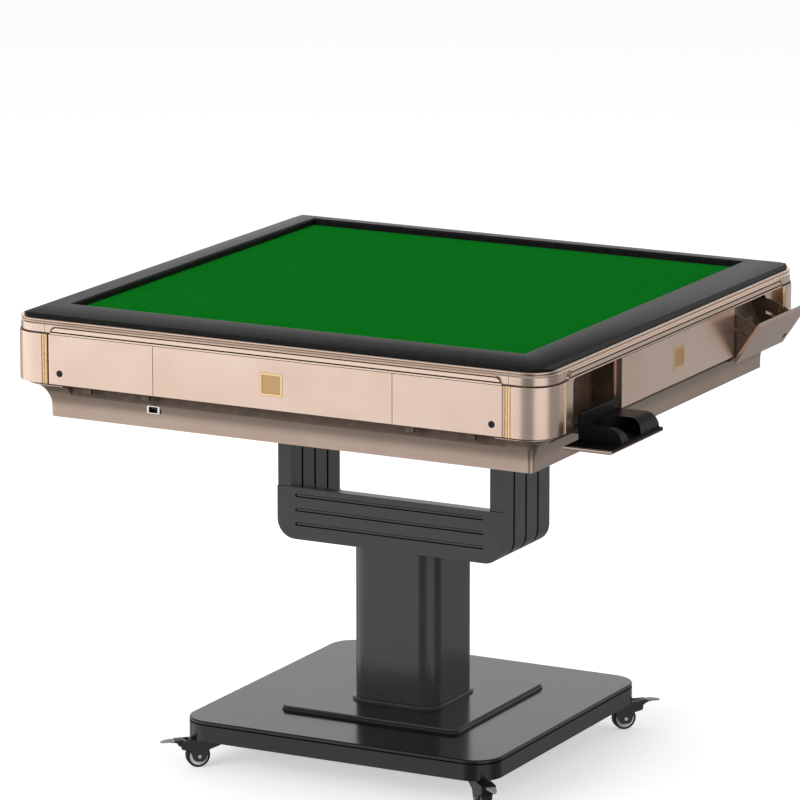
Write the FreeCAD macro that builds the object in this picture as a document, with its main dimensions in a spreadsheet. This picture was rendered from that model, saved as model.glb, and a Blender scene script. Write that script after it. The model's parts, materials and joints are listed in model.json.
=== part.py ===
import FreeCAD, Part
import math
import os
import Sketcher
from FreeCAD import Placement, Rotation, Vector

# Mahjong table with drawers.  Millimetres.  The origin is on the floor under the middle of the
# table, +Z is up, and the players sit at the -Y (front), +X (right), +Y (rear) and -X (left) sides.

DOC = FreeCAD.newDocument("MahjongTable")
SHEET = DOC.addObject("Spreadsheet::Sheet", "Sizes")
NODES = []


# ---------------------------------------------------------------- sizes held by the sheet

class Size:
    """A length or angle that carries both its value and the sheet formula it comes from."""

    def __init__(self, value, formula):
        self.value = value
        self.formula = formula

    def __add__(self, other):
        other = as_size(other)
        return Size(self.value + other.value, f"({self.formula} + {other.formula})")

    def __sub__(self, other):
        other = as_size(other)
        return Size(self.value - other.value, f"({self.formula} - {other.formula})")

    def __mul__(self, other):
        other = as_size(other)
        return Size(self.value * other.value, f"{self.formula} * {other.formula}")

    def __truediv__(self, other):
        other = as_size(other)
        return Size(self.value / other.value, f"{self.formula} / ({other.formula})")

    def __neg__(self):
        return self * -1

    def __radd__(self, other):
        return as_size(other) + self

    def __rsub__(self, other):
        return as_size(other) - self

    def __rmul__(self, other):
        return self * other


class Loose(Size):
    """A starting value for a coordinate that the rest of the outline fixes."""


def as_size(number):
    if isinstance(number, Size):
        return number
    return Size(float(number), f"({float(number):.6g})")


def driving(alias, value):
    """Put a driving dimension in the next row of the sheet."""
    row = len(SHEET_ROWS) + 1
    SHEET_ROWS.append(alias)
    SHEET.set(f"A{row}", alias)
    SHEET.set(f"B{row}", str(value))
    SHEET.setAlias(f"B{row}", alias)
    return Size(float(value), f"Sizes.{alias}")


def bind(thing, prop, size):
    """Tie a property to its formula in the sheet."""
    thing.setExpression(prop, as_size(size).formula)


SHEET_ROWS = []

table_half = driving("TableWidth", 970) / 2
table_top = driving("TableHeight", 799)
band_corner = driving("BandCornerRadius", 48)
band_height = driving("BandHeight", 82)
band_low = driving("BandBottom", 680)
panel_thick = driving("PanelThickness", 6)
seam = driving("SeamGap", 0.5)
seam_centre = driving("CentreSeam", 216)
seam_corner = driving("CornerSeam", 413.5)
strip_width = driving("StripWidth", 9)
rim_inset = driving("RimInset", 8)
rim_rise = driving("RimRise", 12)
opening_half = driving("FieldWidth", 820) / 2
felt_drop = driving("FeltDrop", 11)
felt_thick = driving("FeltThickness", 2)
board_thick = driving("BoardThickness", 16)
lip_inset = driving("LipInset", 2.5)
lip_height = driving("LipHeight", 23.5)
ledge = driving("LedgeHeight", 8)
bar_half = driving("RailBarHalf", 407)
bar_height = driving("RailBarHeight", 13.5)
pan_low = driving("PanBottom", 615)
pan_foot_half = driving("PanFootHalf", 437)
cove = driving("CoveRadius", 45)
cove_level = driving("CoveLevel", 630)
sheet_wall = driving("PanWall", 3)
recess_low = driving("RecessBottom", 657)
recess_half = driving("RecessHalfLength", 391)
frame_inset = driving("FaceFrameInset", 11.5)
mouth_near = driving("MouthStart", 219)
mouth_far = driving("MouthEnd", 368)
mouth_top = driving("MouthTop", 758)
hinge_inset = driving("HolderAxisInset", 18)
hinge_drop = driving("HolderAxisDrop", 10)
pin_radius = driving("HolderPinRadius", 2.5)
ear_radius = driving("HolderEarRadius", 4.2)
cup_depth = driving("CupBlockDepth", 12)
cup_shelf = driving("CupShelfDepth", 30)
cup_round = driving("CupBlockRound", 24)
cup_radius = driving("CupWellRadius", 38)
cup_out = driving("CupWellOffset", 56)
cup_along = driving("CupWellAlong", 312)
bin_radius = driving("BinRadius", 82)
bin_angle = driving("BinAngle", 50)
chip_open = 34
cup_open = 90
fork_half = driving("ForkWidth", 420) / 2
fork_deep = driving("ForkDepth", 176) / 2
fork_low = driving("ForkBottom", 360)
fork_joint = driving("ForkJoint", 449)
fork_top = driving("ForkTop", 613)
fork_corner = driving("ForkCornerRadius", 33)
arm_thick = driving("ArmThickness", 24)
groove_wide = driving("GrooveWidth", 6)
groove_deep = driving("GrooveDepth", 3)
tilt_back = driving("TiltAxisBack", 75)
tilt_level = driving("TiltAxisHeight", 600)
shaft_radius = driving("TiltShaftRadius", 5)
column_half = driving("ColumnWidth", 157) / 2
column_corner = driving("ColumnCornerRadius", 30)
column_wall = driving("ColumnWall", 4)
foot_half = driving("FootFlangeWidth", 168) / 2
foot_thick = driving("FootFlangeThickness", 7.5)
base_half = driving("BaseWidth", 576) / 2
base_corner = driving("BaseCornerRadius", 48)
base_low = driving("BaseBottom", 51)
base_top = driving("BaseTop", 86)
plate_top = base_low + driving("BasePlateTop", 14)
plateau_half = driving("PlateauWidth", 310) / 2
plateau_high = driving("PlateauHeight", 5)
caster_out = driving("CasterOffset", 250)
wheel_radius = driving("WheelRadius", 20)
trail = driving("CasterTrail", 22)
cheek_half = driving("CasterHalfWidth", 12.5)
slot_half = driving("CasterSlotHalfWidth", 9.5)

band_top = band_low + band_height
hinge_out = table_half - hinge_inset
hinge_level = band_low - hinge_drop
felt_top = table_top - felt_drop
board_low = felt_top - felt_thick - board_thick
rim_half = table_half - rim_inset
frame_face = table_half - frame_inset
frame_back = frame_inset + 2.5
lip_half = table_half - lip_inset
lip_top = band_top + lip_height
skin_back = table_half - panel_thick
corner_centre = table_half - band_corner


# ---------------------------------------------------------------- drawing helpers

def point_at(outline, index):
    step = outline[index % len(outline)]
    return Vector(as_size(step[0]).value, as_size(step[1]).value, 0)


def fix_point(sketch, geometry, end, step):
    """Hold one end of an edge at the sheet's coordinates."""
    across, up = as_size(step[0]), as_size(step[1])
    for kind, axis, size in (("DistanceX", -2, across), ("DistanceY", -1, up)):
        if isinstance(size, Loose):
            continue
        if abs(size.value) < 1e-9:
            sketch.addConstraint(Sketcher.Constraint("PointOnObject", geometry, end, axis))
            continue
        number = sketch.addConstraint(Sketcher.Constraint(kind, -1, 1, geometry, end, size.value))
        bind(sketch, f"Constraints[{number}]", size)


def rounding(outline, index, radius):
    """Tangent points and centre of the arc that rounds a corner."""
    here = point_at(outline, index)
    back = (point_at(outline, index - 1) - here).normalize()
    ahead = (point_at(outline, index + 1) - here).normalize()
    half_angle = back.getAngle(ahead) / 2
    reach = radius / math.tan(half_angle)
    centre = here + (back + ahead).normalize() * (radius / math.sin(half_angle))
    left_turn = back.cross(ahead).z < 0
    return here + back * reach, here + ahead * reach, centre, left_turn


def arc_between(start, end, centre, left_turn):
    if not left_turn:
        start, end = end, start
    radius = (start - centre).Length
    angles = [math.atan2(p.y - centre.y, p.x - centre.x) for p in (start, end)]
    if angles[1] < angles[0]:
        angles[1] += 2 * math.pi
    return Part.ArcOfCircle(Part.Circle(centre, Vector(0, 0, 1), radius), *angles)


def draw(sketch, outline):
    """Draw one closed outline.

    A step is (x, y), a sharp corner; (x, y, radius), a rounded corner; or
    (x, y, ("about", cx, cy, left_turn)), reached from the step before it along an arc.
    """
    count = len(outline)
    entry, leave, corners, edges = {}, {}, {}, []
    for index, step in enumerate(outline):
        rounded = len(step) > 2 and not isinstance(step[2], tuple)
        entry[index] = leave[index] = point_at(outline, index)
        if rounded:
            radius = as_size(step[2])
            entry[index], leave[index], centre, left_turn = rounding(outline, index, radius.value)
            arc = arc_between(entry[index], leave[index], centre, left_turn)
            corners[index] = (sketch.addGeometry(arc, False), left_turn, radius)
    for index in range(count):
        after = (index + 1) % count
        bend = outline[after][2] if len(outline[after]) > 2 else None
        if isinstance(bend, tuple):
            middle = Vector(as_size(bend[1]).value, as_size(bend[2]).value, 0)
            arc = arc_between(leave[index], entry[after], middle, bend[3])
            number = sketch.addGeometry(arc, False)
            fix_point(sketch, number, 3, (bend[1], bend[2]))
            edges.append((number, 1, 2) if bend[3] else (number, 2, 1))
        else:
            number = sketch.addGeometry(Part.LineSegment(leave[index], entry[after]), False)
            edges.append((number, 1, 2))
    for index, step in enumerate(outline):
        before, here = edges[index - 1], edges[index]
        if index in corners:
            arc, left_turn, radius = corners[index]
            first, last = (1, 2) if left_turn else (2, 1)
            sketch.addConstraint(Sketcher.Constraint("Tangent", before[0], before[2], arc, first))
            sketch.addConstraint(Sketcher.Constraint("Tangent", arc, last, here[0], here[1]))
            number = sketch.addConstraint(Sketcher.Constraint("Radius", arc, radius.value))
            bind(sketch, f"Constraints[{number}]", radius)
            tip = sketch.addGeometry(Part.Point(point_at(outline, index)), True)
            sketch.addConstraint(Sketcher.Constraint("PointOnObject", tip, 1, before[0]))
            sketch.addConstraint(Sketcher.Constraint("PointOnObject", tip, 1, here[0]))
            fix_point(sketch, tip, 1, step)
        else:
            joined = Sketcher.Constraint("Coincident", before[0], before[2], here[0], here[1])
            sketch.addConstraint(joined)
            fix_point(sketch, here[0], here[1], step)


def draw_circle(sketch, circle):
    across, up, radius = (as_size(value) for value in circle)
    centre = Vector(across.value, up.value, 0)
    number = sketch.addGeometry(Part.Circle(centre, Vector(0, 0, 1), radius.value), False)
    fix_point(sketch, number, 3, (across, up))
    held = sketch.addConstraint(Sketcher.Constraint("Radius", number, radius.value))
    bind(sketch, f"Constraints[{held}]", radius)


def sketch_on(body, plane, offset, outlines):
    """Make a sketch on one of the body's own origin planes, moved along its normal."""
    sketch = body.newObject("Sketcher::SketchObject", body.Name + "_sketch")
    flat = [f for f in body.Origin.OriginFeatures if f.Role == plane + "_Plane"][0]
    sketch.AttachmentSupport = [(flat, "")]
    sketch.MapMode = "FlatFace"
    bind(sketch, "AttachmentOffset.Base.z", offset)
    for outline in outlines:
        if isinstance(outline[0], tuple):
            draw(sketch, outline)
        else:
            draw_circle(sketch, outline)
    sketch.Visibility = False
    return sketch


def new_body(label):
    body = DOC.addObject("PartDesign::Body", label)
    body.Label = label
    return body


def pad(body, plane, low, high, *outlines):
    """Fill outlines between two levels along the axis that is square to the plane."""
    low, high = as_size(low), as_size(high)
    sketch = sketch_on(body, plane, -high if plane == "XZ" else low, outlines)
    feature = body.newObject("PartDesign::Pad", body.Name + "_pad")
    feature.Profile = sketch
    bind(feature, "Length", high - low)
    return feature


def pocket(body, plane, low, high, *outlines):
    """Cut outlines away between two levels along the axis that is square to the plane."""
    low, high = as_size(low), as_size(high)
    sketch = sketch_on(body, plane, -low if plane == "XZ" else high, outlines)
    feature = body.newObject("PartDesign::Pocket", body.Name + "_pocket")
    feature.Profile = sketch
    bind(feature, "Length", high - low)
    return feature


def revolve(body, outline):
    """Turn an outline of (radius, height) about the body's Z axis."""
    sketch = sketch_on(body, "XZ", 0, [outline])
    feature = body.newObject("PartDesign::Revolution", body.Name + "_turned")
    feature.Profile = sketch
    feature.ReferenceAxis = (sketch, ["V_Axis"])
    feature.Angle = 360
    return feature


def round_edges(body, radius, chosen):
    """Fillet the edges of the body that the test picks."""
    DOC.recompute()
    tip = body.Tip
    names = [f"Edge{n + 1}" for n, edge in enumerate(tip.Shape.Edges) if chosen(edge.BoundBox)]
    feature = body.newObject("PartDesign::Fillet", body.Name + "_round")
    feature.Base = (tip, names)
    bind(feature, "Radius", radius)
    return feature


def four_times(body, *features):
    """Repeat features at the four sides, about the table's own axis."""
    DOC.recompute()
    pattern = body.newObject("PartDesign::PolarPattern", body.Name + "_sides")
    pattern.Originals = list(features)
    upright = [f for f in body.Origin.OriginFeatures if f.Role == "Z_Axis"][0]
    pattern.Axis = (upright, [""])
    pattern.Angle = 360
    pattern.Occurrences = 4
    body.Tip = pattern
    return pattern


def square(half, radius=None, half_y=None):
    """Outline of a rectangle about the origin, with rounded corners if a radius is given."""
    half = as_size(half)
    deep = as_size(half_y) if half_y is not None else half
    corners = [(-half, -deep), (half, -deep), (half, deep), (-half, deep)]
    if radius is None:
        return corners
    return [(x, y, radius) for x, y in corners]


def rectangle(x0, y0, x1, y1, radius=None):
    corners = [(x0, y0), (x1, y0), (x1, y1), (x0, y1)]
    if radius is None:
        return corners
    return [(x, y, radius) for x, y in corners]


def mirrored(outline):
    """The same outline on the other side of the Y axis, drawn the same way round."""
    flipped = []
    for step in reversed(outline):
        flipped.append((as_size(step[0]) * -1,) + tuple(step[1:]))
    return flipped


def block(label, low, high):
    """A plain block between two opposite corners."""
    box = DOC.addObject("Part::Box", label)
    box.Label = label
    for prop, axis, a, b in zip(("Length", "Width", "Height"), "xyz", low, high):
        bind(box, prop, as_size(b) - a)
        bind(box, f"Placement.Base.{axis}", a)
    return box


TURNS = {"X": Rotation(Vector(0, 1, 0), 90), "Y": Rotation(Vector(1, 0, 0), -90), "Z": Rotation()}


def rod(label, axis, radius, start, length):
    """A round bar from a start point along X, Y or Z."""
    bar = DOC.addObject("Part::Cylinder", label)
    bar.Label = label
    bar.Placement = Placement(Vector(), TURNS[axis])
    bind(bar, "Radius", radius)
    bind(bar, "Height", length)
    for name, value in zip("xyz", start or ()):
        bind(bar, f"Placement.Base.{name}", value)
    return bar


def fuse(label, pieces):
    joined = DOC.addObject("Part::MultiFuse", label)
    joined.Label = label
    joined.Shapes = pieces
    return joined


def cut(label, base, tool):
    left = DOC.addObject("Part::Cut", label)
    left.Label = label
    left.Base = base
    left.Tool = tool
    return left


def group(label, pieces):
    """Separate solids that share one node."""
    bundle = DOC.addObject("Part::Compound", label)
    bundle.Label = label
    bundle.Links = pieces
    return bundle


def keep(thing):
    """Mark an object as a sub-part that is handed on."""
    NODES.append(thing)
    return thing


def level_is(box, height):
    """True for an edge that lies flat at a height."""
    return abs(box.ZMin - height.value) < 1e-4 and abs(box.ZMax - height.value) < 1e-4


# ---------------------------------------------------------------- base, column and fork

BOLT_OUT = 55
BOLT_RADIUS = 4
STEM_RADIUS = 4
CORNERS = {"front_left": (-1, -1), "front_right": (1, -1), "rear_right": (1, 1), "rear_left": (-1, 1)}


def bolt_holes():
    return [(x * BOLT_OUT, y * BOLT_OUT, BOLT_RADIUS) for x, y in CORNERS.values()]


def stem_holes():
    return [(caster_out * x, caster_out * y, STEM_RADIUS) for x, y in CORNERS.values()]


def make_base_cover():
    """Moulded cover of the base: open below, with a rolled bead round the top, a raised seat for
    the column, and a tube down to the ballast for each column bolt."""
    body = new_body("base_cover")
    bead, groove, wall, top_wall = 5.2, 0.8, 3, 4
    tube_radius = BOLT_RADIUS + 4
    bead_low = base_top - bead
    pad(body, "XY", base_low, bead_low - groove, square(base_half, base_corner))
    pad(body, "XY", bead_low - groove, bead_low, square(base_half - groove, base_corner - groove))
    pad(body, "XY", bead_low, base_top, square(base_half, base_corner))
    round_edges(body, 2.2, lambda box: level_is(box, base_top))
    seat_top = base_top + plateau_high
    pad(body, "XY", base_top - 1, seat_top, square(plateau_half, 14))
    round_edges(body, 3.5, lambda box: level_is(box, seat_top))
    pocket(body, "XY", base_low - 1, base_top - top_wall, square(base_half - wall, base_corner - wall))
    tubes = [(x, y, tube_radius) for x, y, _ in bolt_holes()]
    pad(body, "XY", plate_top, base_top - top_wall + 0.5, *tubes)
    pocket(body, "XY", plate_top - 1, seat_top + 1, *bolt_holes())
    return keep(body)


def make_base_weight():
    """Steel ballast plate inside the cover, which carries the casters."""
    body = new_body("base_weight")
    pad(body, "XY", base_low + 2, plate_top, square(base_half - 3.3, base_corner - 3.3))
    pocket(body, "XY", base_low + 1, plate_top + 1, *bolt_holes(), *stem_holes())
    return keep(body)


def make_base_fixings():
    """Screwed parts of the base: a flanged stem for each caster, and four hexagon bolts that pull
    the foot of the column down onto the ballast from below."""
    pieces = []
    low = base_low + 2
    for name, (x, y) in CORNERS.items():
        at = (caster_out * x, caster_out * y)
        stem = rod("stem_" + name, "Z", STEM_RADIUS, (*at, base_low - 9), 33)
        flange = rod("stem_flange_" + name, "Z", 11, (*at, base_low - 1), 3)
        pieces.append(fuse("stem_turned_" + name, [stem, flange]))
        shank = rod("bolt_shank_" + name, "Z", BOLT_RADIUS, (x * BOLT_OUT, y * BOLT_OUT, low),
                    base_top + plateau_high + foot_thick - low)
        head = DOC.addObject("Part::Prism", "bolt_head_" + name)
        head.Polygon = 6
        bind(head, "Circumradius", 7.5)
        bind(head, "Height", 5)
        head.Placement.Base = Vector(x * BOLT_OUT, y * BOLT_OUT, 0)
        bind(head, "Placement.Base.z", low - 5)
        pieces.append(fuse("bolt_" + name, [shank, head]))
    return keep(group("base_fixings", pieces))


def make_foot():
    """Square flange at the foot of the column."""
    body = new_body("foot_flange")
    low = base_top + plateau_high
    pad(body, "XY", low, low + foot_thick, square(foot_half, column_corner + 4))
    round_edges(body, 2, lambda box: level_is(box, low + foot_thick))
    pocket(body, "XY", low - 1, low + foot_thick + 1, *bolt_holes())
    return keep(body)


def make_column():
    """Square tube with large round corners."""
    body = new_body("column")
    low = base_top + plateau_high + foot_thick
    inner = column_half - column_wall
    pad(body, "XY", low, fork_low, square(column_half, column_corner),
        square(inner, column_corner - column_wall))
    return keep(body)


GROOVE_ROWS = (24.5, 0, -24.5)
GROOVE_STEP = 44


def make_crossbar():
    """Lower bar of the fork: a trough, open above between the arms, with round bottom corners, a
    deep grooved front with a flange turned in along its top, a low rear wall, and three grooves
    down each end that wrap under the corner."""
    body = new_body("fork_crossbar")
    pad(body, "XZ", -fork_deep, fork_deep,
        [(-fork_half, fork_low, fork_corner), (fork_half, fork_low, fork_corner),
         (fork_half, fork_joint), (-fork_half, fork_joint)])
    middle = fork_low + 51
    half_length = fork_half - 34
    rows = []
    for shift in GROOVE_ROWS:
        low = middle + shift - groove_wide / 2
        rows.append(rectangle(-half_length, low, half_length, low + groove_wide, 2.9))
    pocket(body, "XZ", -fork_deep - 1, -fork_deep + groove_deep, *rows)
    hollow = fork_half - groove_deep
    wrap = [(fork_half + 2, fork_low - 2, fork_corner + 2), (fork_half + 2, fork_joint + 1),
            (hollow, fork_joint + 1), (hollow, fork_low + groove_deep, fork_corner - groove_deep),
            (fork_half - fork_corner - 8, fork_low + groove_deep),
            (fork_half - fork_corner - 8, fork_low - 2)]
    for place in (-1, 0, 1):
        level = groove_wide / 2 + place * GROOVE_STEP
        pocket(body, "XZ", level - groove_wide, level, wrap, mirrored(wrap))
    wall = groove_deep + 5
    inner, flange, rear_wall = fork_half - arm_thick, 20, 42
    pocket(body, "XZ", wall - fork_deep, fork_deep - wall,
           rectangle(-inner, fork_low + wall, inner, fork_joint - wall, 24))
    pocket(body, "XZ", flange - fork_deep, fork_deep - wall,
           rectangle(-inner, fork_joint - 2 * wall - 24, inner, fork_joint + 1))
    pocket(body, "XZ", fork_deep - wall - 1, fork_deep + 1,
           [(-inner, fork_joint + 1), (-inner, fork_low + rear_wall, 10),
            (inner, fork_low + rear_wall, 10), (inner, fork_joint + 1)])
    pocket(body, "XY", fork_low - 1, fork_low + wall + 1, square(column_half - 17, 20))
    return keep(body)


def make_arm(label, side):
    """Upright arm of the fork, grooved inside and out, bored for the tilt shaft."""
    body = new_body(label)
    front, nose = 3 - fork_deep, fork_top - tilt_level
    inner, outer = fork_half - arm_thick, fork_half
    low, high = (inner, outer) if side > 0 else (-outer, -inner)
    pad(body, "YZ", low, high,
        [(front, fork_joint), (fork_deep, fork_joint), (fork_deep, fork_top, nose),
         (front, fork_top, 4)])
    pocket(body, "YZ", low - 1, high + 1, (tilt_back, tilt_level, shaft_radius))
    slots = []
    for place in (-1, 0, 1):
        y0 = groove_wide / -2 + place * GROOVE_STEP
        y1 = y0 + groove_wide
        slots.append(rectangle(outer - groove_deep, y0, outer + 1, y1))
        slots.append(rectangle(inner - 1, y0, inner + groove_deep, y1))
    if side < 0:
        slots = [mirrored(slot) for slot in slots]
    pocket(body, "XY", fork_joint - 1, fork_top + 1, *slots)
    return keep(body)


def make_tilt_shaft():
    """Round shaft through both arms, with a domed nut at each end."""
    pieces = [rod("tilt_bar", "X", shaft_radius, (-fork_half - 2, tilt_back, tilt_level),
                  fork_half * 2 + 4)]
    for name, start in (("left", -fork_half - 5), ("right", fork_half)):
        pieces.append(rod("shaft_nut_" + name, "X", 9, (start, tilt_back, tilt_level), 5))
    return keep(fuse("tilt_shaft", pieces))


def make_rest_pads():
    """Rubber pads that the table top lands on, glued to the tops of the arms."""
    pieces = []
    for name, x in (("left", -fork_half + 4), ("right", fork_half - arm_thick + 4)):
        pieces.append(block("rest_pad_" + name, (x, -75, fork_top), (x + 16, -50, pan_low - 0.4)))
    return keep(group("rest_pads", pieces))


def make_clamp_lever():
    """Cast lever that locks the tilt: a hub on the shaft, a flat arm and a round grip."""
    hub = rod("lever_hub", "X", 11, (122, tilt_back, tilt_level), 14)
    sleeve = rod("lever_sleeve", "X", 8.5, (136, tilt_back, tilt_level), 41)
    body = new_body("lever_arm")
    pad(body, "YZ", 125, 133,
        [(tilt_back + 3, tilt_level - 9), (tilt_back - 3, tilt_level + 9),
         (tilt_back - 62, tilt_level - 18, 5), (tilt_back - 58, tilt_level - 30, 5)])
    grip = rod("lever_grip", "X", 8, (112, tilt_back - 58, tilt_level - 24), 28)
    solid = fuse("lever_blank", [hub, sleeve, body, grip])
    bore = rod("lever_bore", "X", shaft_radius + 0.15, (110, tilt_back, tilt_level), 80)
    return keep(cut("clamp_lever", solid, bore))


# ---------------------------------------------------------------- casters
# Each caster is drawn about its own swivel axis with the wheel trailing along +X.

PEDAL_PIVOT = (46, 40)
AXLE_RADIUS = 3.2


def caster_place(name):
    x, y = CORNERS[name]
    turn = math.degrees(math.atan2(y, x))
    return Placement(Vector(x * caster_out.value, y * caster_out.value, 0),
                     Rotation(Vector(0, 0, 1), turn))


def make_caster_housing(name):
    """Moulded hood that carries the axle, with the axle pressed across it."""
    body = new_body("caster_hood_" + name)
    top, axle_level = base_low - 2.5, wheel_radius
    hood = [(-15, top, 2), (-15, axle_level + 17, 3), (4, axle_level + 11, 4),
            (trail - 9, axle_level - 9, 8.9), (trail + 9, axle_level - 9, 8.9),
            (trail + 15, axle_level + 10, 4), (53, axle_level + 14, 4), (53, top, 2)]
    pad(body, "XZ", -cheek_half, cheek_half, hood)
    pocket(body, "XZ", -slot_half, slot_half, (trail, axle_level, wheel_radius + 2))
    well = rectangle(38, axle_level + 6, 60, base_low)
    pocket(body, "XZ", -slot_half, slot_half, well)
    pocket(body, "XZ", -cheek_half - 1, cheek_half + 1, (trail, axle_level, AXLE_RADIUS),
           (*PEDAL_PIVOT, 2.15))
    pocket(body, "XY", base_low - 9.3, top + 1, (0, 0, STEM_RADIUS + 0.2))
    axle = rod("axle_" + name, "Y", AXLE_RADIUS, (trail, -cheek_half - 1.2, axle_level),
               cheek_half * 2 + 2.4)
    housing = group("caster_housing_" + name, [body, axle])
    housing.Placement = caster_place(name)
    return keep(housing)


def make_wheel(name):
    """Rubber tyre and moulded hub, both turned about the axle."""
    place = caster_place(name) * Placement(Vector(trail.value, 0, wheel_radius.value),
                                           Rotation(Vector(1, 0, 0), 90))
    seat, face, boss = wheel_radius - 4, 7.4, 9.2
    bore = AXLE_RADIUS + 0.15
    tyre = new_body("caster_tyre_" + name)
    revolve(tyre, [(seat, -8), (wheel_radius, -8, 3), (wheel_radius, 8, 3), (seat, 8)])
    tyre.Placement = place
    hub = new_body("caster_hub_" + name)
    revolve(hub, [(bore, -boss), (8, -boss), (9, -face), (seat, -face), (seat, face), (9, face),
                  (8, boss), (bore, boss)])
    hub.Placement = place
    return keep(tyre), keep(hub)


def make_pedal(name):
    """Brake pedal: a block between the cheeks and a curved leaf for the toe, drawn to a point."""
    body = new_body("brake_lever_" + name)
    pad(body, "XZ", -8.8, 8.8,
        [(41, 47, 1.5), (41.5, 36.5, 3), (48, 35, 4), (56, 42, 3), (62, 45.5, 3),
         (62, 49.5, 1), (50, 49.5, 3)])
    pad(body, "XZ", -7, 7,
        [(58, 44.2), (72, 46.2, 12), (86, 45.6, 0.6), (86, 47.4, 0.6), (72, 49.4, 14), (58, 48.4)])
    taper = [(63, 7.1), (80, 5.2), (87, 2), (87, 8), (63, 8)]
    other = [(x, -y) for x, y in reversed(taper)]
    pocket(body, "XY", 43, 51, taper, other)
    pin = rod("brake_pin_" + name, "Y", 2, (PEDAL_PIVOT[0], -cheek_half, PEDAL_PIVOT[1]),
              cheek_half * 2)
    pedal = fuse("brake_pedal_" + name, [body, pin])
    pedal.Placement = caster_place(name)
    return keep(pedal)


# ---------------------------------------------------------------- table top

SIDES = {"front": 0, "right": 90, "rear": 180, "left": 270}


def make_felt_and_board():
    half = opening_half - 0.5
    board_top = felt_top - felt_thick
    keep(block("playing_board", (-half, -half, board_low), (half, half, board_top)))
    keep(block("playing_felt", (-half, -half, board_top), (half, half, felt_top)))


LIP_FOOT = 15.5


def make_rim():
    """Rim round the playing field, stepped below to sit in the lip and crowned above: from a flat
    crest at the field each side falls away in one long curve to its outer edge."""
    body = new_body("top_rim")
    step_half = lip_half - LIP_FOOT
    step_level = band_top + ledge
    pad(body, "XY", band_top, step_level, square(step_half, step_half - corner_centre),
        square(opening_half))
    pad(body, "XY", step_level, table_top, square(rim_half, rim_half - corner_centre),
        square(opening_half))
    crest = opening_half + 4
    fall = rim_half - crest
    crown = (fall * fall + rim_rise * rim_rise) / (rim_rise * 2)
    beyond = rim_half + 3
    edge_level = Loose(table_top.value - 13, "")
    side = pocket(body, "YZ", -beyond, beyond,
                  [(-beyond, edge_level),
                   (-crest, table_top, ("about", -crest, table_top - crown, False)),
                   (-crest, table_top + 1), (-beyond, table_top + 1)])
    four_times(body, side)
    inside = opening_half.value + 1
    round_edges(body, 3.5, lambda box: level_is(box, table_top) and max(
        abs(box.XMin), abs(box.XMax), abs(box.YMin), abs(box.YMax)) < inside)
    return keep(body)


def make_lip():
    """Polished moulding that holds the rim: one hollowed profile swept round the table, with a
    flat bar raised on each side."""
    body = new_body("lip_rails")
    start = lip_half - LIP_FOOT
    bend = start - corner_centre
    path = sketch_on(body, "XY", band_top, [
        [(start, 0), (start, start, bend), (-start, start, bend), (-start, -start, bend),
         (start, -start, bend)]])
    shelf = band_top + ledge
    upstand = rim_half + 0.3
    profile = sketch_on(body, "XZ", 0, [
        [(start, band_top), (lip_half, band_top), (lip_half, band_top + 15),
         (lip_half - 2.2, band_top + 17.5, 1.6), (lip_half - 1.2, lip_top - 4.5, 1.6),
         (lip_half, lip_top - 2.4, 0.8), (lip_half, lip_top, 1.2),
         (upstand, lip_top), (upstand, shelf), (start, shelf)]])
    sweep = body.newObject("PartDesign::AdditivePipe", "lip_sweep")
    sweep.Profile = profile
    sweep.Spine = path
    low, high = band_top + 0.5, band_top + 0.5 + bar_height
    bar = pad(body, "XZ", -table_half, 2 - lip_half,
              [(-bar_half, low), (bar_half, low), (bar_half, high, 12), (-bar_half, high, 12)])
    four_times(body, bar)
    return keep(body)


def make_corner_posts():
    """Rounded corner casings of the band, one at each corner."""
    body = new_body("corner_posts")
    edge = seam_corner + strip_width + seam
    post = pad(body, "XY", band_low, band_top,
               [(edge, -table_half), (table_half, -table_half, band_corner), (table_half, -edge),
                (skin_back, -edge), (skin_back, -skin_back, skin_back - corner_centre),
                (edge, -skin_back)])
    four_times(body, post)
    return keep(body)


def make_corner_strips():
    """Bright double-bead strips between the end panels and the corner casings."""
    body = new_body("corner_strips")
    left, right = seam_corner, seam_corner + strip_width
    face, valley, back = -table_half, 1.6 - table_half, frame_back - table_half
    middle = seam_corner + strip_width / 2
    strip = [(left, back), (left, face, 1.5), (middle - 0.4, face, 1.5), (middle - 0.4, valley),
             (middle + 0.4, valley), (middle + 0.4, face, 1.5), (right, face, 1.5), (right, back)]
    pair = pad(body, "XY", band_low, band_top, strip, mirrored(strip))
    four_times(body, pair)
    return keep(body)


BADGE_HALF = 20.5
BADGE_HIGH = 18.5


def make_centre_panels():
    """Middle panel of each side, with a shallow seat for the badge, and the face frame moulded
    with it behind the end panels, which has a mouth for each folding holder."""
    body = new_body("centre_panels")
    half = seam_centre - seam
    low, high = band_low + 0.4, band_top - 0.4
    middle = band_low + band_height / 2
    frame_half = seam_corner - 0.3
    back = frame_back - table_half
    face = pad(body, "XZ", -table_half, -skin_back, rectangle(-half, low, half, high))
    sheet = pad(body, "XZ", -frame_face, back, rectangle(-frame_half, low, frame_half, high))
    returns = pad(body, "XZ", -skin_back - 1, 1 - frame_face, rectangle(-half, low, 2.5 - half, high),
                  rectangle(half - 2.5, low, half, high))
    mouth = [(mouth_near, low - 1), (mouth_far, low - 1), (mouth_far, mouth_top, 12),
             (mouth_near, mouth_top)]
    window = rectangle(2.5 - half, low + 2, half - 2.5, high - 2)
    mouths = pocket(body, "XZ", -frame_face - 1, back + 1, mouth, mirrored(mouth), window)
    seat = pocket(body, "XZ", -table_half - 1, 2 - table_half,
                  rectangle(-BADGE_HALF - 0.3, middle - BADGE_HIGH - 0.3,
                            BADGE_HALF + 0.3, middle + BADGE_HIGH + 0.3, 2))
    four_times(body, face, sheet, returns, mouths, seat)
    return keep(body)


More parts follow.
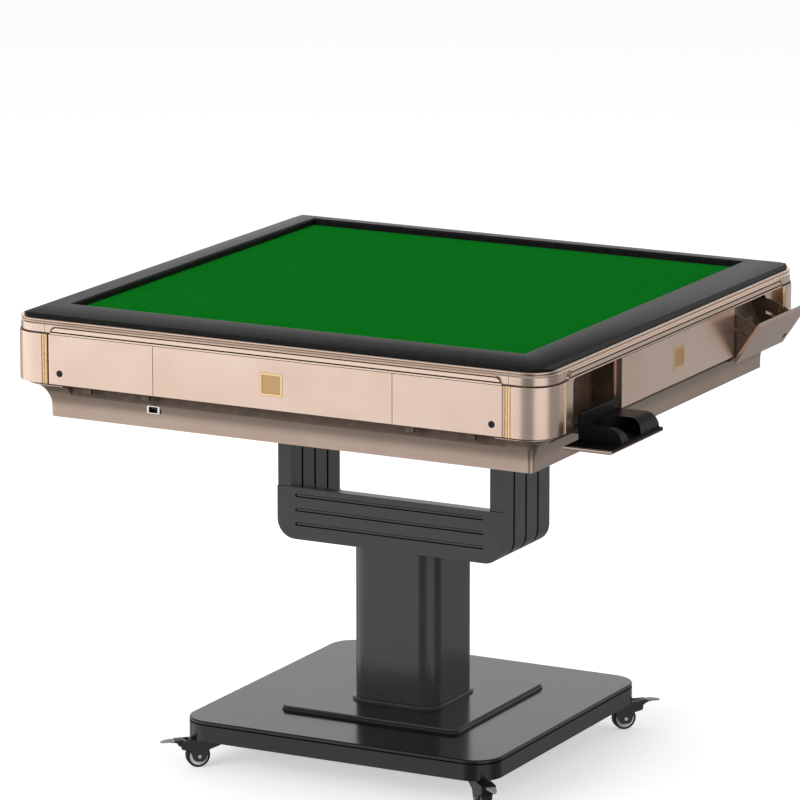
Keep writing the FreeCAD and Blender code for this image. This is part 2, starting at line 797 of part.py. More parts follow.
def make_badges():
    """Plain square badges with a raised border."""
    body = new_body("badges")
    middle = band_low + band_height / 2
    plate = pad(body, "XZ", -table_half - 0.4, 2 - table_half,
                rectangle(-BADGE_HALF, middle - BADGE_HIGH, BADGE_HALF, middle + BADGE_HIGH, 1.8))
    field = pocket(body, "XZ", -table_half - 1, 0.5 - table_half,
                   rectangle(3.5 - BADGE_HALF, middle - BADGE_HIGH + 3.5,
                             BADGE_HALF - 3.5, middle + BADGE_HIGH - 3.5, 1))
    four_times(body, plate, field)
    return keep(body)


CUP_POCKET = 33
CHIP_POCKET = 66
EAR_PLACES = (232, 346)
EAR_WIDE = 8
APRON_EAR = 5.5


def make_apron(side):
    """Moulded housing behind the panels of one side: a floor, one wall that follows the pockets of
    both folding holders, and ears below with the stub pins that the holders turn on."""
    body = new_body("apron_" + side)
    wall, edge = 3, 1.5
    outer, inner = table_half - frame_back - 0.5, opening_half - 14
    cup_back, chip_back = hinge_out - CUP_POCKET, hinge_out - CHIP_POCKET
    near, far = mouth_near - edge, mouth_far + 3.5
    end = inner - 0.2
    floor_low = hinge_level + 6
    floor_top = band_low - 0.4
    beyond = -table_half
    corner = outer - corner_centre
    pad(body, "XY", floor_low, band_top,
        [(-outer, -outer, corner), (end, -outer), (end, -inner), (-outer, -inner)])
    pocket(body, "XY", floor_top, band_top + 1,
           rectangle(-far, beyond, -near, -cup_back), rectangle(near, beyond, far, -chip_back))
    skin = outer - wall
    behind_cup, behind_chip = cup_back - wall, chip_back - wall
    pocket(body, "XY", floor_top, band_top + 1,
           [(-skin, -skin, corner - wall), (-far - wall, -skin), (-far - wall, -behind_cup),
            (wall - near, -behind_cup), (wall - near, -skin), (near - wall, -skin),
            (near - wall, -behind_chip), (far + wall, -behind_chip), (far + wall, -skin),
            (end + 1, -skin), (end + 1, 1 - inner), (-skin, 1 - inner)])
    slots = []
    for x in EAR_PLACES:
        slot = rectangle(x - 1, beyond, x + EAR_WIDE + 1, 5 - hinge_out)
        slots += [slot, mirrored(slot)]
    pocket(body, "XY", floor_low - 1, floor_top + 1, *slots)
    ear_low = hinge_level - ear_radius
    ear = [(-outer, floor_low + 0.5), (-outer, ear_low, 3.4),
           (ear_radius - hinge_out, ear_low, 3.4), (ear_radius - hinge_out, floor_low + 0.5)]
    pin = (-hinge_out, hinge_level, pin_radius)
    pin_long = EAR_WIDE + 3
    ear_starts = (EAR_PLACES[0] + EAR_WIDE + 0.5, EAR_PLACES[1] - 0.5 - APRON_EAR)
    pin_starts = (EAR_PLACES[0] - 1, EAR_PLACES[1] - 2)
    for x in ear_starts:
        pad(body, "YZ", x, x + APRON_EAR, ear)
        pad(body, "YZ", -x - APRON_EAR, -x, ear)
    for x in pin_starts:
        pad(body, "YZ", x, x + pin_long, pin)
        pad(body, "YZ", -x - pin_long, -x, pin)
    body.Placement = Placement(Vector(), Rotation(Vector(0, 0, 1), SIDES[side]))
    return keep(body)


PORT_X = -241
PORT_Z = 646
RECESS_IN = 55


def make_pan():
    """Lower shell: a hollow cove swept round the table, a flat bottom, and on each side a recess
    under the band that leaves room for the folding holders."""
    body = new_body("lower_pan")
    wall = sheet_wall
    centre = pan_foot_half + cove
    top = band_low - 4
    path_half = pan_foot_half - 4
    path = sketch_on(body, "XY", pan_low, [
        [(path_half, 0), (path_half, path_half, 4), (-path_half, path_half, 4),
         (-path_half, -path_half, 4), (path_half, -path_half, 4)]])
    rise = top.value - cove_level.value
    end = 7
    inner_top = Loose(centre.value - math.sqrt((cove.value + wall.value) ** 2 - rise ** 2), "")
    outer_end = Loose(cove_level.value + math.sqrt(cove.value ** 2 - end ** 2), "")
    profile = sketch_on(body, "XZ", 0, [
        [(path_half + 0.5, pan_low), (pan_foot_half, pan_low), (pan_foot_half, cove_level),
         (centre - end, outer_end, ("about", centre, cove_level, False)),
         (centre - end, top), (inner_top, top),
         (path_half + 1, cove_level, ("about", centre, cove_level, True))]])
    sweep = body.newObject("PartDesign::AdditivePipe", "pan_sweep")
    sweep.Profile = profile
    sweep.Spine = path
    pad(body, "XY", pan_low, pan_low + wall, square(path_half + 2, 6))
    wall_out = recess_half + RECESS_IN
    back = pad(body, "YZ", -recess_half - wall, recess_half + wall,
               [(-wall_out, recess_low - 1), (-wall_out, top), (wall - wall_out, top),
                (wall - wall_out, recess_low - 3.2)])
    ends = []
    cheek = [(-wall_out, recess_low), (-(wall_out + 13), recess_low + 12), (-(wall_out + 23), top),
             (-wall_out, top)]
    for low in (recess_half, -recess_half - wall):
        ends.append(pad(body, "YZ", low, low + wall, cheek))
    recess = pocket(body, "YZ", -recess_half, recess_half,
                    rectangle(-table_half, recess_low, -wall_out, top + 1))
    four_times(body, back, *ends, recess)
    pocket(body, "XZ", -table_half, -pan_foot_half + 8,
           rectangle(PORT_X - 12, PORT_Z - 6.6, PORT_X + 12, PORT_Z + 6.6, 1.8))
    holes = [(x, y, 2) for x, y in screw_places()]
    pocket(body, "XY", pan_low - 1, pan_low + wall + 1, *holes)
    return keep(body)


def screw_places():
    spots = []
    for along in (-300, 0, 300):
        spots += [(along, -365), (along, 365)]
    for along in (-200, 200):
        spots += [(-365, along), (365, along)]
    return spots


def make_port():
    """Socket in the front of the pan: bezel, opening and contact tongue."""
    body = new_body("usb_port")
    back, face = 8 - pan_foot_half, -pan_foot_half - 5
    pad(body, "XZ", face, back, rectangle(PORT_X - 11.8, PORT_Z - 6.4, PORT_X + 11.8, PORT_Z + 6.4, 1.7))
    pocket(body, "XZ", face - 1, back - 2, rectangle(PORT_X - 8, PORT_Z - 4.7, PORT_X + 8, PORT_Z + 4.7, 1))
    pad(body, "XZ", back - 9, back - 1, rectangle(PORT_X - 6, PORT_Z + 0.4, PORT_X + 6, PORT_Z + 2.4))
    return keep(body)


def make_tilt_brackets():
    """Two steel brackets under the pan that turn on the tilt shaft."""
    body = new_body("tilt_brackets")
    reach, nose = 25, 12
    cheek = [(tilt_back - reach, pan_low), (tilt_back - reach, pan_low - 7, 4),
             (tilt_back - nose, tilt_level - nose, nose - 0.1),
             (tilt_back + nose, tilt_level - nose, nose - 0.1),
             (tilt_back + reach, pan_low - 7, 4), (tilt_back + reach, pan_low)]
    inner = fork_half - arm_thick - 8
    outer = inner + 6
    for low, high in ((inner, outer), (-outer, -inner)):
        pad(body, "YZ", low, high, cheek)
    flange = rectangle(inner - 28, tilt_back - reach, outer, tilt_back + reach, 3)
    pad(body, "XY", pan_low - 3, pan_low, flange, mirrored(flange))
    pocket(body, "YZ", -outer - 1, outer + 1, (tilt_back, tilt_level, shaft_radius + 0.1))
    return keep(body)


def make_chassis():
    """Welded frame of steel channel inside the pan, with four posts under the playing board."""
    body = new_body("chassis")
    floor = pan_low + sheet_wall
    outer = opening_half - 24
    pad(body, "XY", floor, floor + 30, square(outer), square(outer - 30))
    rails = [rectangle(x, 29 - outer, x + 30, outer - 29) for x in (150, -180)]
    pad(body, "XY", floor, floor + 30, *rails)
    trough = floor + sheet_wall
    pocket(body, "XY", trough, floor + 31, square(outer - 3), square(outer - 27))
    pocket(body, "XY", trough, floor + 31,
           *[rectangle(x, 30 - outer, x + 24, outer - 30) for x in (153, -177)])
    posts = [rectangle(x, y, x + 30, y + 30)
             for x in (outer - 30, -outer) for y in (outer - 30, -outer)]
    pad(body, "XY", floor, board_low, *posts)
    holes = [(x, y, 2) for x, y in screw_places()]
    pocket(body, "XY", floor - 1, floor + 15, *holes)
    return keep(body)


def make_pan_screws():
    """Pan-head screws that hold the lower shell to the chassis."""
    pieces = []
    for number, (x, y) in enumerate(screw_places()):
        shank = rod(f"screw_shank_{number}", "Z", 2, (x, y, pan_low - 1), 14)
        head = rod(f"screw_head_{number}", "Z", 4.2, (x, y, pan_low - 2), 2)
        pieces.append(fuse(f"screw_{number}", [shank, head]))
    return keep(group("pan_screws", pieces))


# ---------------------------------------------------------------- folding holders
# Each holder is drawn closed at the front side, about its own hinge: X runs along the table,
# Y inwards and Z up, with the origin on the hinge axis.

OPEN_AT_REST = "right"


def holder_place(side, opened):
    """Where a holder's hinge frame stands on a side of the table."""
    hinge = Placement(Vector(0, -hinge_out.value, hinge_level.value),
                      Rotation(Vector(1, 0, 0), opened))
    return Placement(Vector(), Rotation(Vector(0, 0, 1), SIDES[side])) * hinge


def holder_ears(body, side, outer_high, inner_high):
    """Two ears under a holder, each bored for its stub pin."""
    low, half = -ear_radius, ear_radius
    outline = [(-half, outer_high), (-half, low, 4.1), (half, low, 4.1), (half, inner_high)]
    for x in EAR_PLACES:
        start = x if side > 0 else -x - EAR_WIDE
        pad(body, "YZ", start, start + EAR_WIDE, outline)
    near, far = EAR_PLACES[0] - 1, EAR_PLACES[1] + EAR_WIDE + 1
    start = near if side > 0 else -far
    pocket(body, "YZ", start, start + (far - near), (0, 0, pin_radius + 0.15))


STOP_DOT = (390, 18.75, 4.5)
ROLLED = 7.8


def make_cup_holder(side):
    """Cup holder: a thin face with one rolled edge, backed by a moulded tray with a round well that
    is open at its far end, and a shelf that stands up behind the cup when the tray is down."""
    opened = cup_open if side == OPEN_AT_REST else 0
    left, right = seam - seam_corner, -seam_centre - seam
    low, high = hinge_drop + 0.4, hinge_drop + band_height - 0.4
    face = -hinge_inset
    skin_thick = 1.5
    back = face + panel_thick
    skin = new_body("cup_panel_" + side)
    pad(skin, "XY", low, high,
        [(left, back), (left, face, 5.9), (right, face), (right, face + skin_thick),
         (left + ROLLED, face + skin_thick), (left + ROLLED, back)])
    x, up, radius = STOP_DOT
    pocket(skin, "XZ", face - 1, face + 1.2, (-x, hinge_drop + up, radius))
    skin.Placement = holder_place(side, opened)
    keep(skin)

    tray = new_body("cup_tray_" + side)
    block_low = hinge_drop + 2
    block_left, block_right = -mouth_far + 8, -mouth_near - 3
    shoulder = hinge_drop + 53
    block_top = Loose((shoulder + cup_round).value, "")
    pad(tray, "XZ", face + skin_thick, back,
        rectangle(left + ROLLED + 0.2, low + 0.4, right - 0.4, high - 0.4))
    pad(tray, "YZ", block_left, block_right,
        [(back - 0.5, block_low), (cup_shelf, block_low, 1.9), (cup_shelf, block_low + 4, 1.9),
         (cup_depth, block_low + 4), (cup_depth, shoulder),
         (back, block_top, ("about", back, shoulder, True)), (back - 0.5, shoulder + cup_round)])
    pocket(tray, "XZ", back + 1, cup_shelf + 1, (-cup_along, cup_out, cup_radius))
    holder_ears(tray, -1, block_low + 1, block_low + 1)
    tray.Placement = holder_place(side, opened)
    keep(tray)


def make_chip_drawer(side):
    """Chip drawer: a thick face, backed by a scoop-shaped bin whose cheeks are sectors about the
    hinge, each with a curved guide slot and a tab at the top."""
    opened = chip_open if side == OPEN_AT_REST else 0
    left, right = seam_centre + seam, seam_corner - seam
    low, high = hinge_drop + 0.4, hinge_drop + band_height - 0.4
    face = -hinge_inset
    back = face + panel_thick
    skin = new_body("chip_panel_" + side)
    pad(skin, "XY", low, high, [(left, back), (left, face), (right, face, 5.9), (right, back)])
    x, up, radius = STOP_DOT
    pocket(skin, "XZ", face - 1, face + 1.2, (x, hinge_drop + up, radius))
    skin.Placement = holder_place(side, opened)
    keep(skin)

    tray = new_body("chip_bin_" + side)
    turn = math.radians(bin_angle.value)
    sine, cosine = math.sin(turn), math.cos(turn)
    bin_left, bin_right, wall = mouth_near + 1.5, mouth_far - 6, 2.5
    foot, tab, notch, tab_top = hinge_drop + 2, 4, 8, hinge_drop + 73
    tip_y, tip_z = bin_radius * sine, bin_radius * cosine
    shoulder = Loose(math.sqrt(bin_radius.value ** 2 - notch ** 2), "")
    pad(tray, "YZ", bin_left, bin_right,
        [(back, foot), (tip_y, tip_z), (notch, shoulder, ("about", 0, 0, True)),
         (notch, tab_top - 13), (tab, tab_top - 13), (tab, tab_top, 2), (back, tab_top)])
    slope = (tip_z - foot) / (tip_y - back)
    deck = foot + wall * slope + 3.4
    reach = 80
    pocket(tray, "YZ", bin_left + wall, bin_right - wall,
           [(back + wall, deck), (back + wall + reach, deck + slope * reach),
            (back + wall + reach, 100), (back + wall, 100)])
    pocket(tray, "YZ", bin_left - 1, bin_right + 1, guide_slot())
    sunk = foot + 1 - back * slope
    holder_ears(tray, 1, sunk - ear_radius * slope, sunk + ear_radius * slope)
    tray.Placement = holder_place(side, opened)
    keep(tray)


def guide_slot():
    """Outline of the slot that runs round the hinge in each cheek of a bin."""
    inner, outer = SLOT_RADII
    (y0, z0), (y1, z1) = [(math.sin(math.radians(a)), math.cos(math.radians(a))) for a in SLOT_ENDS]
    return [(inner * y1, Loose(inner * z1, ""), ("about", 0, 0, False)),
            (outer * y1, outer * z1), (outer * y0, Loose(outer * z0, ""), ("about", 0, 0, True)),
            (inner * y0, inner * z0)]


SLOT_RADII = (55.5, 60.5)
SLOT_ENDS = (-5, 30)


def check_everything():
    """Stop on any object that failed, and on any cut that removed nothing."""
    faults = []
    for thing in DOC.Objects:
        if "Invalid" in thing.State or "Error" in thing.State:
            faults.append(f"{thing.Label} did not build")
        elif thing.TypeId in ("PartDesign::Pocket", "PartDesign::Groove"):
            if thing.Shape.Volume > thing.BaseFeature.Shape.Volume - 0.01:
                faults.append(f"{thing.Label} cut nothing")
    for node in NODES:
        if node.Shape.isNull() or not node.Shape.isValid():
            faults.append(f"{node.Label} has no valid shape")
    if faults:
        raise RuntimeError("; ".join(faults))


make_base_cover()
make_base_weight()
make_base_fixings()
make_foot()
make_column()
make_crossbar()
make_arm("fork_arm_left", -1)
make_arm("fork_arm_right", 1)
make_tilt_shaft()
make_rest_pads()
make_clamp_lever()
for corner in CORNERS:
    make_caster_housing(corner)
    make_wheel(corner)
    make_pedal(corner)
make_felt_and_board()
make_rim()
make_lip()
make_corner_posts()
make_corner_strips()
make_centre_panels()
make_badges()
for place in SIDES:
    make_apron(place)
make_pan()
make_port()
make_tilt_brackets()
make_chassis()
make_pan_screws()
for place in SIDES:
    make_cup_holder(place)
    make_chip_drawer(place)

DOC.recompute()
check_everything()
os.makedirs("parts", exist_ok=True)
for node in NODES:
    node.Shape.exportStep(f"parts/{node.Label}.step")
print(f"{len(NODES)} sub-parts written")
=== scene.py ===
import json
import math

import bpy
import mathutils
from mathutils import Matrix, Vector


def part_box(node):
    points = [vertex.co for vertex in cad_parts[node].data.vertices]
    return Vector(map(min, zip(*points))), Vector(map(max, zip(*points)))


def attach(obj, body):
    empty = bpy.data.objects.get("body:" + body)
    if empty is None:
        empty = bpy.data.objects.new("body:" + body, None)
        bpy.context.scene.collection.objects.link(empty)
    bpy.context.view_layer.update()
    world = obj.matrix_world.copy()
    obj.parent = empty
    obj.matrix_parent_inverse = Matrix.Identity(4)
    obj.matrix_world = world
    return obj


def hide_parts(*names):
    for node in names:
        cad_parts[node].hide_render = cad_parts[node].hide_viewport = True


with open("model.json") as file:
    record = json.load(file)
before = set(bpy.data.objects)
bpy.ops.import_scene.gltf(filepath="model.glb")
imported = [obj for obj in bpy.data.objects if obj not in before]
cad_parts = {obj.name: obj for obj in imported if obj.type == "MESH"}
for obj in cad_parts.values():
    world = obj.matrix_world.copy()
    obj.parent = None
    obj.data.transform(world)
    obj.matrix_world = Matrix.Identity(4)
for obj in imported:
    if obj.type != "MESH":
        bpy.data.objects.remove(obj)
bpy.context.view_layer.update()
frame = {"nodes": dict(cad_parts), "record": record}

# ---------------------------------------------------------------------------------------------
# Base.  A vacuum-formed cover of glossy black ABS is pulled over a steel ballast plate.  Screwed
# stems carry the casters, and four bolts pull the column down from below.

# The table's lengths are given in millimetres, and MM turns them into metres.  A face looks along
# an axis when its normal reaches SQUARE_ON, and lies at a level when it is within NEAR of it.
MM = 0.001
SQUARE_ON = 0.9
NEAR = 0.1
BODY_OF = {node: body for body, nodes in frame["record"]["behaviour"]["bodies"].items()
           for node in nodes}
SLOT_OF = {part["node"]: part["material_slot"] for part in frame["record"]["subparts"]}


def srgb(code):
    """Linear colour of an sRGB hex code."""
    parts = [int(code[i:i + 2], 16) / 255 for i in (0, 2, 4)]
    return [c / 12.92 if c <= 0.04045 else ((c + 0.055) / 1.055) ** 2.4 for c in parts] + [1.0]


def grey(level):
    """A plain value as a ramp colour."""
    return (level, level, level, 1)


def add(tree, kind, settings=None, **inputs):
    """Add a node with its settings; an input is a value or the socket that feeds it."""
    node = tree.nodes.new(kind)
    for name, value in (settings or {}).items():
        setattr(node, name, value)
    for name, value in inputs.items():
        socket = node.inputs[int(name[1:])] if name[0] == "i" and name[1:].isdigit() else (
            node.inputs[name.replace("_", " ")])
        if isinstance(value, bpy.types.NodeSocket):
            tree.links.new(value, socket)
        else:
            socket.default_value = value
    return node


def finish_named(name, **surface):
    """A new material, with the plain values of its surface set on the shader's own sockets."""
    material = bpy.data.materials.new(name)
    material.use_nodes = True
    tree = material.node_tree
    shader = tree.nodes["Principled BSDF"]
    for socket, value in surface.items():
        shader.inputs[socket.replace("_", " ")].default_value = value
    return material, tree, shader


def noise(tree, size, detail=3.0):
    """Noise with grains of a real size in millimetres, fixed to the piece."""
    place = add(tree, "ShaderNodeTexCoord").outputs["Object"]
    return add(tree, "ShaderNodeTexNoise", None, Vector=place, Scale=1 / (size * MM),
               Detail=detail).outputs["Fac"]


def ramp(tree, value, low, high, low_at=0.35, high_at=0.65):
    """Turn a value into a colour between two others."""
    node = add(tree, "ShaderNodeValToRGB", None, Fac=value)
    stops = node.color_ramp.elements
    stops[0].position, stops[1].position = low_at, high_at
    stops[0].color, stops[1].color = low, high
    return node.outputs["Color"]


def relief(tree, shader, height, depth, strength=0.2):
    """Fine relief of a depth in millimetres."""
    bump = add(tree, "ShaderNodeBump", None, Height=height, Strength=strength, Distance=depth * MM)
    tree.links.new(bump.outputs["Normal"], shader.inputs["Normal"])


def pick(piece):
    """Make a piece the only one selected, and active."""
    bpy.ops.object.select_all(action="DESELECT")
    piece.select_set(True)
    bpy.context.view_layer.objects.active = piece


def apply_modifier(piece, kind, **settings):
    """Add a modifier with its settings and apply it at once."""
    pick(piece)
    modifier = piece.modifiers.new("step", kind)
    for name, value in settings.items():
        setattr(modifier, name, value)
    bpy.ops.object.modifier_apply(modifier="step")


def merged_copy(node, name):
    """Copy a solid's mesh to a new piece and merge its loose triangles into whole faces."""
    piece = bpy.data.objects.new(name, frame["nodes"][node].data.copy())
    bpy.context.scene.collection.objects.link(piece)
    pick(piece)
    bpy.ops.object.mode_set(mode="EDIT")
    bpy.ops.mesh.select_all(action="SELECT")
    bpy.ops.mesh.customdata_custom_splitnormals_clear()
    bpy.ops.mesh.remove_doubles(threshold=0.00002)
    bpy.ops.mesh.dissolve_limited(angle_limit=math.radians(0.6))
    bpy.ops.object.mode_set(mode="OBJECT")
    return piece


def break_edges(piece, width, segments=2, sharp=35):
    """Break the sharp edges by a small round, and let flat faces keep their own shading."""
    if width:
        apply_modifier(piece, "BEVEL", width=width * MM, segments=segments, limit_method="ANGLE",
                       angle_limit=math.radians(sharp), use_clamp_overlap=True)
    pick(piece)
    bpy.ops.object.shade_smooth_by_angle(angle=math.radians(30))
    apply_modifier(piece, "WEIGHTED_NORMAL", keep_sharp=True, weight=100)


def dress(piece, body, slot_name, *materials):
    """Give a finished piece its body and its finishes, the main one first; the slot name is not
    used.
    """
    piece.data.materials.clear()
    for material in materials:
        piece.data.materials.append(material)
    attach(piece, body)
    return piece


def finished(node, width, *materials):
    """A solid's own shape with its edges broken, dressed in the solid's place."""
    piece = merged_copy(node, node + "_finished")
    break_edges(piece, width)
    dress(piece, BODY_OF[node], SLOT_OF[node], *materials)
    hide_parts(node)
    return piece


def from_middle(place):
    """Distance out from the table's middle, square to the nearest side."""
    return max(abs(place.x), abs(place.y))


def second_finish(piece, number, test):
    """Give another finish to the faces that a test of their middle, in millimetres, picks."""
    for face in piece.data.polygons:
        if test(face.center / MM, face.normal):
            face.material_index = number


# ABS, vacuum formed and left glossy: near black, with the slow waviness of a formed sheet.
glossy_abs, tree, shader = finish_named("glossy_black_abs", IOR=1.5, Roughness=0.17)
tree.links.new(ramp(tree, noise(tree, 90), srgb("101010"), srgb("161616")),
               shader.inputs["Base Color"])
relief(tree, shader, noise(tree, 45, 2.0), 0.25, 0.06)

# The sink under the bead is painted a dull near black: painted shade in the hollow.
painted_shade_black, tree, shader = finish_named("painted_shade_black_abs", Roughness=0.8, Specular_IOR_Level=0.05)
tree.links.new(ramp(tree, noise(tree, 6), srgb("060606"), srgb("0C0C0C")),
               shader.inputs["Base Color"])

SINK_LEVEL = 80.0
SINK_DEEPER = 1.7
BEAD_LEVEL = 80.8
COVER_TOP = 86
SEAT_EDGE = (150, 160)
SEAT_SPREAD = 166 / 155
SEAT_RAISE = 2.5
seat_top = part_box("base_cover")[1].z / MM


def choose_faces(piece, test):
    """Go to edit mode with the faces selected that a test of their middle, in millimetres, picks."""
    pick(piece)
    bpy.context.tool_settings.mesh_select_mode = (False, False, True)
    bpy.ops.object.mode_set(mode="EDIT")
    bpy.ops.mesh.select_all(action="DESELECT")
    bpy.ops.object.mode_set(mode="OBJECT")
    for face in piece.data.polygons:
        face.select = test(face.center / MM, face.normal)
    bpy.ops.object.mode_set(mode="EDIT")


cover = merged_copy("base_cover", "base_cover_formed")
choose_faces(cover, lambda middle, normal: abs(middle.z - SINK_LEVEL) < NEAR
             and normal.z > SQUARE_ON)
bpy.ops.transform.translate(value=(0, 0, -SINK_DEEPER * MM))
bpy.ops.object.mode_set(mode="OBJECT")
choose_faces(cover, lambda middle, normal: middle.z > COVER_TOP + 2 * NEAR
             and SEAT_EDGE[0] < from_middle(middle) < SEAT_EDGE[1])
bpy.ops.transform.resize(value=(SEAT_SPREAD, SEAT_SPREAD, 1), center_override=(0, 0, 0))
bpy.ops.object.mode_set(mode="OBJECT")
choose_faces(cover, lambda middle, normal: middle.z > seat_top - NEAR and normal.z > SQUARE_ON)
bpy.ops.transform.translate(value=(0, 0, SEAT_RAISE * MM))
bpy.ops.object.mode_set(mode="OBJECT")
break_edges(cover, 0.3)
dress(cover, "base", SLOT_OF["base_cover"], glossy_abs, painted_shade_black)
# The faces in and round the sink take the near black: painted shade.
second_finish(cover, 1, lambda middle, normal: SINK_LEVEL - SINK_DEEPER - NEAR
              < middle.z < BEAD_LEVEL + NEAR)
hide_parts("base_cover")

# Steel, bright zinc plated: grey with a faint bloom.
zinc, tree, shader = finish_named("zinc_plated_steel", Metallic=1.0)
bloom = noise(tree, 4, 4.0)
tree.links.new(ramp(tree, bloom, srgb("9A9CA0"), srgb("C4C5C6")), shader.inputs["Base Color"])
tree.links.new(ramp(tree, bloom, grey(0.28), grey(0.42)), shader.inputs["Roughness"])
finished("base_weight", 0.5, zinc)
finished("base_fixings", 0.3, zinc)

# ---------------------------------------------------------------------------------------------
# Foot and column.  A square steel tube with large round corners is welded to a flange.  Both are
# powder coated in satin black.

# Epoxy powder coat, baked: satin black, smooth enough to mirror light in soft upright bands.
powder_coat, tree, shader = finish_named("satin_black_powder_coat", IOR=1.6)
drift = noise(tree, 80)
tree.links.new(ramp(tree, drift, srgb("282828"), srgb("303030")), shader.inputs["Base Color"])
tree.links.new(ramp(tree, drift, grey(0.17), grey(0.22)), shader.inputs["Roughness"])
relief(tree, shader, noise(tree, 2), 0.03, 0.05)
finished("foot_flange", 0.3, powder_coat)
finished("column", 0.5, powder_coat)

# ---------------------------------------------------------------------------------------------
# Fork.  A grooved steel trough and two grooved arms are welded into one, ground flush outside and
# powder coated with the column.  The top turns on a plated shaft and lands on rubber pads.

ARM_THICK = 24
FLANGE_THICK = 8
GROOVE_DEEP = 3
GROOVE_EDGE = 1.5
GROOVE_RUN = 45
GROOVE_REACH = 50
FLOOR_RAISE = 0.6

fork = merged_copy("fork_crossbar", "fork_welded")
for node in ("fork_arm_left", "fork_arm_right"):
    arm = merged_copy(node, node + "_blank")
    apply_modifier(fork, "BOOLEAN", operation="UNION", object=arm, solver="EXACT")
    bpy.data.objects.remove(arm)
pick(fork)
bpy.ops.object.mode_set(mode="EDIT")
bpy.ops.mesh.select_all(action="SELECT")
bpy.ops.mesh.remove_doubles(threshold=0.00002)
bpy.ops.mesh.dissolve_limited(angle_limit=math.radians(0.6))
bpy.ops.object.mode_set(mode="OBJECT")

# The inner grooves run on down the ends of the trough.
joint_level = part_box("fork_arm_left")[0].z / MM
fork_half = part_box("fork_crossbar")[1].x / MM
fork_front = -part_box("fork_crossbar")[0].y / MM
arm_inside = fork_half - ARM_THICK
choose_faces(fork, lambda middle, normal: normal.z > SQUARE_ON
             and abs(middle.z - joint_level) < NEAR and abs(middle.y) < GROOVE_REACH
             and arm_inside - 1 < abs(middle.x) < arm_inside + GROOVE_DEEP + 1)
bpy.ops.transform.translate(value=(0, 0, -GROOVE_RUN * MM))
bpy.ops.object.mode_set(mode="OBJECT")


def on_groove_edge(middle, normal):
    """Whether a face lies in a front groove, but off the raised middle of its floor."""
    depth = middle.y + fork_front
    on_floor = normal.y < -SQUARE_ON and depth < GROOVE_DEEP - 0.4
    between_arms = middle.z < joint_level - FLANGE_THICK and abs(middle.x) < arm_inside - 1
    return 0.3 < depth < GROOVE_DEEP + 0.05 and between_arms and not on_floor


# Each front groove has a dark line painted along both edges of its floor and on its walls: painted
# shade.
choose_faces(fork, lambda middle, normal: normal.y < -SQUARE_ON
             and abs(middle.y + fork_front - GROOVE_DEEP) < NEAR and middle.z < joint_level)
bpy.ops.mesh.inset(thickness=GROOVE_EDGE * MM)
bpy.ops.transform.translate(value=(0, -FLOOR_RAISE * MM, 0))
bpy.ops.object.mode_set(mode="OBJECT")
break_edges(fork, 0.4)
dress(fork, "base", SLOT_OF["fork_crossbar"], powder_coat, painted_shade_black)
# The front grooves' edges and walls take the near black: painted shade.
second_finish(fork, 1, on_groove_edge)
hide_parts("fork_crossbar", "fork_arm_left", "fork_arm_right")
finished("tilt_shaft", 1.2, zinc)

# Natural rubber, moulded: matt black with a light bloom of dust.
rubber, tree, shader = finish_named("black_rubber", Roughness=0.75)
tree.links.new(ramp(tree, noise(tree, 5, 4.0), srgb("151515"), srgb("222222")),
               shader.inputs["Base Color"])
relief(tree, shader, noise(tree, 1.2), 0.08, 0.2)
finished("rest_pads", 0.8, rubber)

# Cast aluminium painted black: fine sand-cast grain under the paint.
cast_paint, tree, shader = finish_named("painted_casting", Roughness=0.45)
tree.links.new(ramp(tree, noise(tree, 10), srgb("1C1C1C"), srgb("262626")),
               shader.inputs["Base Color"])
relief(tree, shader, noise(tree, 1.5, 5.0), 0.15, 0.3)
finished("clamp_lever", 0.8, cast_paint)

# ---------------------------------------------------------------------------------------------
# Casters.  Each has a moulded hood with the axle riveted across it, a rubber tyre on a white nylon
# wheel with a black boss, and a brake pedal with a grey toe leaf.

JOINT_AT = {joint["name"]: joint for joint in frame["record"]["behaviour"]["joints"]}
RIVET_REACH = 3.5
BOSS_RADIUS = 9.2
LEAF_START = 62.2

# ABS, injection moulded: black with the fine grain of a spark-eroded mould.
moulded_black, tree, shader = finish_named("black_moulded_abs", Roughness=0.38)
tree.links.new(ramp(tree, noise(tree, 12), srgb("131313"), srgb("1B1B1B")),
               shader.inputs["Base Color"])
relief(tree, shader, noise(tree, 0.9), 0.05, 0.15)

# Nylon, moulded white, with a soft gloss.
white_nylon, tree, shader = finish_named("white_nylon", Roughness=0.32, IOR=1.53)
tree.links.new(ramp(tree, noise(tree, 8), srgb("F2F2F0"), srgb("FAFAF8")),
               shader.inputs["Base Color"])

# Polyamide toe leaf, moulded grey and rubbed by shoes.
grey_nylon, tree, shader = finish_named("grey_nylon", Roughness=0.45)
tree.links.new(ramp(tree, noise(tree, 4, 5.0), srgb("8E8E8C"), srgb("A9A9A7")),
               shader.inputs["Base Color"])


def finish_near_axle(piece, radius):
    """Give the second finish to the faces that lie wholly within a radius of the axle."""
    for face in piece.data.polygons:
        corners = [piece.data.vertices[i].co - axle_at for i in face.vertices]
        if all((at - axle_along * at.dot(axle_along)).length < radius * MM for at in corners):
            face.material_index = 1


for corner in ("front_left", "front_right", "rear_right", "rear_left"):
    axle_at = mathutils.Vector(JOINT_AT["roll_" + corner]["pos_m"])
    axle_along = mathutils.Vector(JOINT_AT["roll_" + corner]["axis"]).normalized()
    swivel_at = mathutils.Vector(JOINT_AT["swivel_" + corner]["pos_m"])
    trail_way = axle_at - swivel_at
    trail_way.z = 0
    trail_way.normalize()
    hood = finished(f"caster_housing_{corner}", 0.5, moulded_black, zinc)
    finish_near_axle(hood, RIVET_REACH)
    finished(f"caster_tyre_{corner}", 0, rubber)
    hub = finished(f"caster_hub_{corner}", 0.2, white_nylon, moulded_black)
    finish_near_axle(hub, BOSS_RADIUS)
    pedal = finished(f"brake_pedal_{corner}", 0.4, moulded_black, grey_nylon)
    second_finish(pedal, 1, lambda middle, normal: (middle - swivel_at / MM).dot(trail_way)
                  > LEAF_START)

